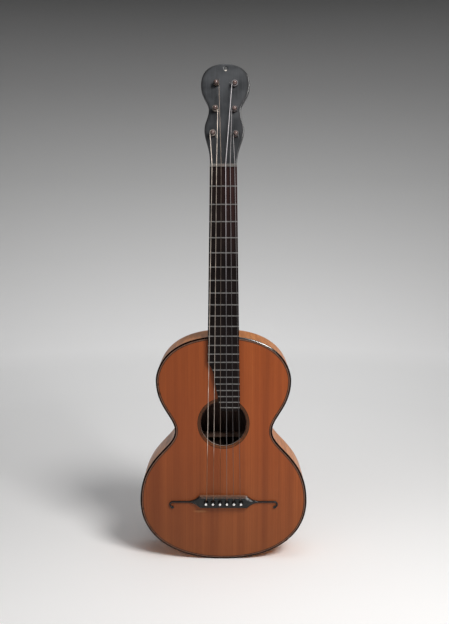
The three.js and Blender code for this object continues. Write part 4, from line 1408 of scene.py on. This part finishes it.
def bridge_material():
    """The bridge's black, rubbed brown on the block round the saddle, its upper side paler with worn wood and
    painted light.
    """
    tones = (0.004, 0.005, 0.005), (0.014, 0.014, 0.015)
    material = black_wood("bridge_black", *tones, 0.2, gloss=0.35)
    polished(material, BRIDGE_SHINE, 0.08, 3.6)
    tree = material.node_tree
    place = parts_of(tree)
    near_saddle = remap(tree, place["Z"], SADDLE_Z - RUBBED_BELOW_SADDLE, SADDLE_Z)
    on_block = remap(tree, calculate(tree, "ABSOLUTE", place["X"]), *RUBBED_HALF_WIDTHS, 1.0, 0.0)
    tint(material, times(tree, near_saddle, on_block), RUBBED_BROWN, 0.8)
    # The upper side faces the light and is paler: worn brown wood and painted light from above
    lit_upper_side = remap(tree, place["Z"], *(SADDLE_Z + reach for reach in UPPER_SIDE))
    tint(material, lit_upper_side, UPPER_SIDE_PAINTED_LIGHT)
    return material


bridge_black = bridge_material()
finished("moustache_bridge", bridge_mesh(), [bridge_black], ["bridge"], sharp_angle=35)

# Saddle: a thin strip of bone that stands in the slot of the bridge, with its upper edge
# rounded for the strings.
STRING_HEIGHT_AT_SADDLE = 4.6 * MM
SADDLE_TOP = FRET_TOP - STRING_HEIGHT_AT_SADDLE
SADDLE_END_ROUNDING = 1.2 * MM
SADDLE_EDGE_ROUNDING = 0.5 * MM


def saddle_outline():
    """The saddle seen along the strings, as (x, -y), with its two front corners rounded."""
    half, foot, radius = SADDLE_LENGTH / 2, BRIDGE_HEIGHT - SADDLE_DEPTH, SADDLE_END_ROUNDING
    corner = arc(half - radius, -SADDLE_TOP - radius, radius, 0, math.pi / 2, CORNER_STEPS)
    return [(-half, foot), (half, foot), *corner, *mirrored(corner)]


saddle_bone = bone_material("saddle_bone", (0.055, 0.036, 0.028), (0.10, 0.068, 0.052))
saddle_bottom = SADDLE_Z - SADDLE_WIDTH / 2
saddle = lying_strip(saddle_outline(), SADDLE_WIDTH, SADDLE_EDGE_ROUNDING, saddle_bottom)
finished("bone_saddle", saddle, [saddle_bone], ["saddle"], sharp_angle=60)

# Bridge pins: six turned pins of black wood with a round head, each with a dot of pearl
# shell let into it. They wedge the ends of the strings and pull straight out.
PIN_SHANK_RADIUS = 2.6 * MM
PIN_TIP_RADIUS = 2.0 * MM
PIN_LENGTH = 22 * MM
PIN_HEAD_RADIUS = 4.3 * MM
PIN_HEAD_HEIGHT = 5.2 * MM
PIN_HEAD_LIFT = 2.2 * MM
# The head in shares of its radius and height. The tip in shares of its radius, the second of
# them counted back from the pin's end.
PIN_HEAD_SHARES = (
    (0.62, 0.93), (0.84, 0.78), (0.97, 0.6), (1.0, 0.46), (0.95, 0.3), (0.8, 0.17), (0.72, 0.1),
)
PIN_TIP_SHARES = ((1.0, 1.0), (0.8, 0.3), (0.3, 0.0))
PEARL_RADIUS = PIN_HEAD_RADIUS / 2
PEARL_LIFT = 0.25 * MM
PEARL_RING_SHARES = (0.04, 0.35, 0.65, 0.88, 1.0)
PEARL_TONES = ((0.62, 0.66, 0.68), (0.80, 0.79, 0.76), (0.78, 0.70, 0.72))
PIN_STEPS = 40
# A turned piece ends in a face of this radius, and not in a point
LEAST_RADIUS = 0.05 * MM


def turned(profile, steps):
    """A turned piece about the Y axis, from its profile of (radius, y)."""
    rings = []
    for radius, y in profile:
        points = circle(0, 0, max(radius, LEAST_RADIUS), steps)
        rings.append([Vector((point.x, y, point.y)) for point in points])
    return lofted(rings)


def pin_mesh():
    """A pin from its head down, with its pearl dot as a low dome."""
    dome = PIN_HEAD_HEIGHT - PEARL_LIFT
    profile = [(PEARL_RADIUS * out, -dome - PEARL_LIFT * (1 - out**2)) for out in PEARL_RING_SHARES]
    profile += [(PIN_HEAD_RADIUS * out, -dome * up) for out, up in PIN_HEAD_SHARES]
    profile += [(PIN_SHANK_RADIUS, 0.0), (PIN_SHANK_RADIUS, PIN_HEAD_LIFT)]
    profile += [(PIN_TIP_RADIUS * out, PIN_LENGTH - PIN_TIP_RADIUS * up) for out, up in PIN_TIP_SHARES]
    mesh = turned(profile, PIN_STEPS)
    for face in mesh.polygons:
        if max(face.vertices) < len(PEARL_RING_SHARES) * PIN_STEPS:
            face.material_index = 1
    return mesh


pearl_look = {"Coat_Weight": 0.6, "Coat_Roughness": 0.08}
pearl = streaked("pearl_shell", (700, 700, 500), PEARL_TONES, (0.14, 0.24), **pearl_look)
pin_black = black_wood("pin_black", (0.006, 0.005, 0.005), (0.012, 0.010, 0.010), 0.18)
for number, string in enumerate(STRINGS):
    mesh = pin_mesh()
    mesh.transform(Matrix.Translation((pin_x(number), -BRIDGE_HEIGHT - PIN_HEAD_LIFT, PIN_Z)))
    node = "bridge_pin_" + string
    finished("turned_pin_" + string, mesh, [pin_black, pearl], [node], body=node)

# Pegs: six turned friction pegs of brown-red wood. Each has a rounded tip in front of the
# head, a tapered shank, a collar, a flat heart of a handle and a small knob at its end.
PEG_TIP_RADIUS = 3.9 * MM
PEG_TIP_LENGTH = 14 * MM
PEG_TAPER_START = 0.5 * MM
PEG_COLLAR_RADIUS = 5.9 * MM
PEG_COLLAR_LENGTH = 3 * MM
PEG_NECK_LENGTH = 5 * MM
PEG_NECK_SHARE = 0.9
PEG_ROOT_LENGTH = 2 * MM
PEG_STEPS = 36
PEG_PROFILE_STEPS = 8
HANDLE_START = HEAD_THICKNESS + PEG_COLLAR_LENGTH + PEG_NECK_LENGTH
HANDLE_WIDTH = 24 * MM
HANDLE_LENGTH = 21 * MM
HANDLE_THICKNESS = 8 * MM
HANDLE_END_SHARE = 0.5
HANDLE_THINNING = 1.5
HANDLE_FULLNESS = 2.2
HANDLE_RIM_SHARE = 0.72
HANDLE_LEAST_WIDTH = 0.3 * MM
HANDLE_LEAST_THICKNESS = 0.2 * MM
HANDLE_SLICES = 30
KNOB_RADIUS = 2.4 * MM
KNOB_STEPS = 12
PEG_DARK = (0.045, 0.022, 0.018)
PEG_BROWN = (0.12, 0.070, 0.060)
PEG_TOUCHED = (0.17, 0.11, 0.10)


def peg_wood_material():
    """Brown-red hardwood, darker in its pores and polished by fingers."""
    material = new_material("peg_hardwood")
    tree = material.node_tree
    streaks = noise(tree, object_place(tree), (420, 60, 420), 4, 0.6)
    worn = use_group(tree, patches, Patches=90.0)["Patches"]
    surface(
        material,
        Base_Color=ramp(tree, streaks, list(zip(NOISE_SPREAD, (PEG_DARK, PEG_BROWN)))),
        Roughness=remap(tree, worn, 0, 1, 0.16, 0.28),
        Coat_Weight=0.8,
        Coat_Roughness=0.08,
    )
    tint(material, worn, PEG_TOUCHED, 0.4)
    return material


def peg_profile():
    """The turned part of a peg, from its tip to the root of its handle."""
    radius, back = PEG_TIP_RADIUS, HEAD_THICKNESS + PEG_FIT
    profile = arc(0, radius - PEG_TIP_LENGTH, radius, -math.pi / 2, 0, PEG_PROFILE_STEPS)
    profile += [(radius, -PEG_TAPER_START), (radius, 0.0), (PEG_SHANK_RADIUS, back)]
    for share in shares(PEG_PROFILE_STEPS):
        out = between(PEG_SHANK_RADIUS, PEG_COLLAR_RADIUS, math.sin(math.pi * share))
        profile.append((out, back + PEG_COLLAR_LENGTH * share))
    neck = back + PEG_COLLAR_LENGTH
    profile.append((PEG_SHANK_RADIUS * PEG_NECK_SHARE, neck + PEG_NECK_LENGTH / 2))
    profile.append((PEG_SHANK_RADIUS, neck + PEG_NECK_LENGTH + PEG_ROOT_LENGTH))
    return profile


def handle_mesh():
    """The flat handle, as oval sections along it that thin out towards its end, with hollow cheeks."""
    rings = []
    for share in shares(HANDLE_SLICES):
        y = HANDLE_START + HANDLE_LENGTH * share
        bulge = math.sqrt(max(1 - (2 * share - 1) ** 2, 0.0))
        width = max(HANDLE_WIDTH / 2 * bulge, HANDLE_LEAST_WIDTH)
        thinner = between(HANDLE_END_SHARE, 1.0, (1 - share) ** HANDLE_THINNING)
        thick = HANDLE_THICKNESS / 2 * thinner * min(1.0, HANDLE_FULLNESS * bulge)
        thick = max(thick, HANDLE_LEAST_THICKNESS)
        ring = []
        for across, up in circle(0, 0, 1, PEG_STEPS):
            rim = between(HANDLE_RIM_SHARE, 1.0, across**2)
            ring.append(Vector((width * across, y, thick * up * rim)))
        rings.append(ring)
    return lofted(rings)


def peg_mesh():
    """A peg: its turned part, its handle, and the little ball at the handle's end, as one."""
    mesh = bpy.data.meshes.new("peg")
    knob = arc(0, HANDLE_START + HANDLE_LENGTH, KNOB_RADIUS, -math.pi / 2, math.pi / 2, KNOB_STEPS)
    with opened(mesh) as form:
        for part in (turned(peg_profile(), PEG_STEPS), handle_mesh(), turned(knob, PEG_STEPS)):
            form.from_mesh(part)
    return mesh


peg_wood = peg_wood_material()
for number, string in enumerate(STRINGS):
    mesh = peg_mesh()
    mesh.transform(head_matrix @ Matrix.Translation(peg_place(number)))
    node = "peg_" + string
    finished("friction_peg_" + string, mesh, [peg_wood], [node], body=node)

# Strings: three of gut and three of silk wound with fine wire. Each is held by its pin,
# runs over the saddle and the nut, and is wound round the tip of its peg.
SPREAD_AT_SADDLE = 62.7 * MM
WINDING_START = 9.2 * MM
WINDING_GAP = 0.45 * MM
WINDING_PITCH_GAP = 0.55 * MM
WINDING_TURNS = (3.5, 3.75, 4, 3.875, 3.25, 3.5)
WINDING_DIRECTIONS = (-1, 1, 1, -1, -1, -1)
WINDING_TAIL = 8 * MM
STEPS_PER_TURN = 40
STRING_SIDES = 14
STRAIGHT_CORNERS = 6
WOUND_STRINGS = ("6", "5", "4")
WIRE_PITCH = 0.22 * MM
WIRE_RIDGE = 0.05 * MM
PEG_DARKENING_REACH = 6 * MM
STRING_TONES = (
    (0.97, 0.86, 0.76),
    (0.92, 0.80, 0.70),
    (0.34, 0.27, 0.22),
    (0.76, 0.72, 0.75),
    (0.40, 0.375, 0.385),
    (0.46, 0.435, 0.445),
)
# How much of its tone a string keeps from its pin up to the nut: brown where plucked, then painted shade
PLUCKED_BROWN = (0.30, 0.17, 0.11)
WIRE_DIRT_AND_SHADE = (
    (0.0, PLUCKED_BROWN),
    (0.16, PLUCKED_BROWN),
    (0.20, (0.76, 0.74, 0.73)),
    (0.96, (0.64, 0.64, 0.64)),
    (1.0, (1.0, 1.0, 1.0)),
)
GUT_DIRT_AND_SHADE = (
    (0.0, PLUCKED_BROWN),
    (0.12, PLUCKED_BROWN),
    (0.17, (0.19, 0.185, 0.18)),
    (0.45, (0.14, 0.14, 0.14)),
    (0.60, (0.20, 0.20, 0.20)),
    (0.80, (0.50, 0.50, 0.50)),
    (1.0, (1.0, 1.0, 1.0)),
)


def string_tree():
    """Sweeps a round along a line, and keeps how far along the line each point lies."""
    tree, start, line = sweep_tree("string_tube", Diameter="NodeSocketFloat", Sides="NodeSocketInt")
    marked = add_node(
        tree,
        "GeometryNodeStoreNamedAttribute",
        {"data_type": "FLOAT", "domain": "POINT"},
        Geometry=line,
        Name="along",
        Value=add_node(tree, "GeometryNodeSplineParameter").outputs["Length"],
    )
    radius = times(tree, start["Diameter"], 0.5)
    section = add_node(tree, "GeometryNodeCurvePrimitiveCircle", Resolution=start["Sides"], Radius=radius)
    return end_sweep(tree, start, marked.outputs["Geometry"], section.outputs["Curve"])


def winding(number, leaving):
    """The turns round a peg and the loose tail, in the head's own frame, from the nut onwards."""
    peg, direction = peg_place(number), WINDING_DIRECTIONS[number]
    radius = PEG_TIP_RADIUS + WINDING_GAP + STRING_DIAMETERS[number] / 2
    pitch = STRING_DIAMETERS[number] + WINDING_PITCH_GAP
    reach = math.hypot(peg.x - leaving.x, peg.z - leaving.z)
    course = math.atan2(peg.z - leaving.z, peg.x - leaving.x) - direction * math.asin(radius / reach)
    start = course - direction * math.pi / 2
    points = []
    for share in shares(round(WINDING_TURNS[number] * STEPS_PER_TURN)):
        turns = WINDING_TURNS[number] * share
        angle = start + direction * 2 * math.pi * turns
        out = Vector((radius * math.cos(angle), 0, radius * math.sin(angle)))
        points.append(Vector((peg.x, -WINDING_START + pitch * turns, peg.z)) + out)
    along = (points[-1] - points[-2]).normalized()
    return points + [points[-1] + along * WINDING_TAIL]


def string_route(number):
    """The string's middle line from the pin over the saddle and the nut to the end of its tail."""
    radius = STRING_DIAMETERS[number] / 2
    x, lane = pin_x(number), lane_z(number)
    nut_x, nut_y = spread(number, SPREAD_AT_NUT), string_y_at_nut(number)
    corners = [
        Vector((x, PLATE, lane)),
        Vector((x, -BRIDGE_HEIGHT + radius, lane)),
        Vector((x, -BRIDGE_HEIGHT - radius, lane + radius)),
        Vector((spread(number, SPREAD_AT_SADDLE), SADDLE_TOP - radius, SADDLE_Z)),
        Vector((nut_x, nut_y, NUT_Z)),
        Vector((nut_x, nut_y, HEAD_BASE)),
    ]
    on_head = winding(number, head_matrix.inverted() @ corners[-1])
    return corners + [head_matrix @ point for point in on_head]


def along_string(tree):
    """How far along its string a point lies."""
    return add_node(tree, "ShaderNodeAttribute", {"attribute_name": "along"}).outputs["Fac"]


def string_material(name, tone, dirt_and_shade, wound_from, grains, detail, roughness):
    """A string: uneven, brown where plucked, dimmed by painted shade along the board, darker round the peg.
    """
    material = new_material(name)
    tree = material.node_tree
    along = along_string(tree)
    streaks = {"W": along, "Scale": grains, "Detail": detail}
    uneven = add_node(tree, "ShaderNodeTexNoise", {"noise_dimensions": "1D"}, **streaks).outputs["Fac"]
    tones = darkened(tone, 0.6), tone
    surface(
        material,
        Base_Color=ramp(tree, uneven, list(zip(NOISE_SPREAD, tones))),
        Roughness=remap(tree, uneven, *NOISE_SPREAD, *roughness),
    )
    # Brown where plucked, then painted shade that dims the string over the soundhole and the board
    tint(material, 1.0, ramp(tree, remap(tree, along, 0.0, SCALE_LENGTH), dirt_and_shade), way="MULTIPLY")
    # Darker round the peg, where the string is wound
    peg_darkening = remap(tree, along, wound_from - PEG_DARKENING_REACH, wound_from, 0.0, 0.85)
    tint(material, peg_darkening, darkened(tone, 0.14))
    return material


def gut_material(name, tone, wound_from):
    """Gut: pale, a little uneven along its length, and dimmed most by the painted shade."""
    return string_material(name, tone, GUT_DIRT_AND_SHADE, wound_from, 900.0, 2.0, (0.3, 0.42))


def wound_material(name, tone, wound_from):
    """Fine wire wound close over silk: a ridge for each turn of the wire, a little tarnished."""
    material = string_material(name, tone, WIRE_DIRT_AND_SHADE, wound_from, 60.0, 3.0, (0.34, 0.5))
    tree = material.node_tree
    ridge = calculate(tree, "SINE", times(tree, along_string(tree), 2 * math.pi / WIRE_PITCH))
    surface(material, Metallic=0.6, Normal=relief(tree, remap(tree, ridge, -1.0, 1.0), WIRE_RIDGE, 0.6))
    return material


tube_tree = string_tree()
for number, string in enumerate(STRINGS):
    route = string_route(number)
    wound_from = lengths_along(route)[STRAIGHT_CORNERS]
    kind, slot, make_material = "gut_string_", "gut", gut_material
    if string in WOUND_STRINGS:
        kind, slot, make_material = "wound_string_", "wound_silk", wound_material
    finish = make_material("string_finish_" + string, STRING_TONES[number], wound_from)
    tube = swept_mesh(
        tube_tree,
        route,
        [(i, i + 1) for i in range(len(route) - 1)],
        Diameter=STRING_DIAMETERS[number],
        Sides=STRING_SIDES,
        Material=finish,
    )
    finished(kind + string, tube, [finish], ["string_" + string], sharp_angle=60)
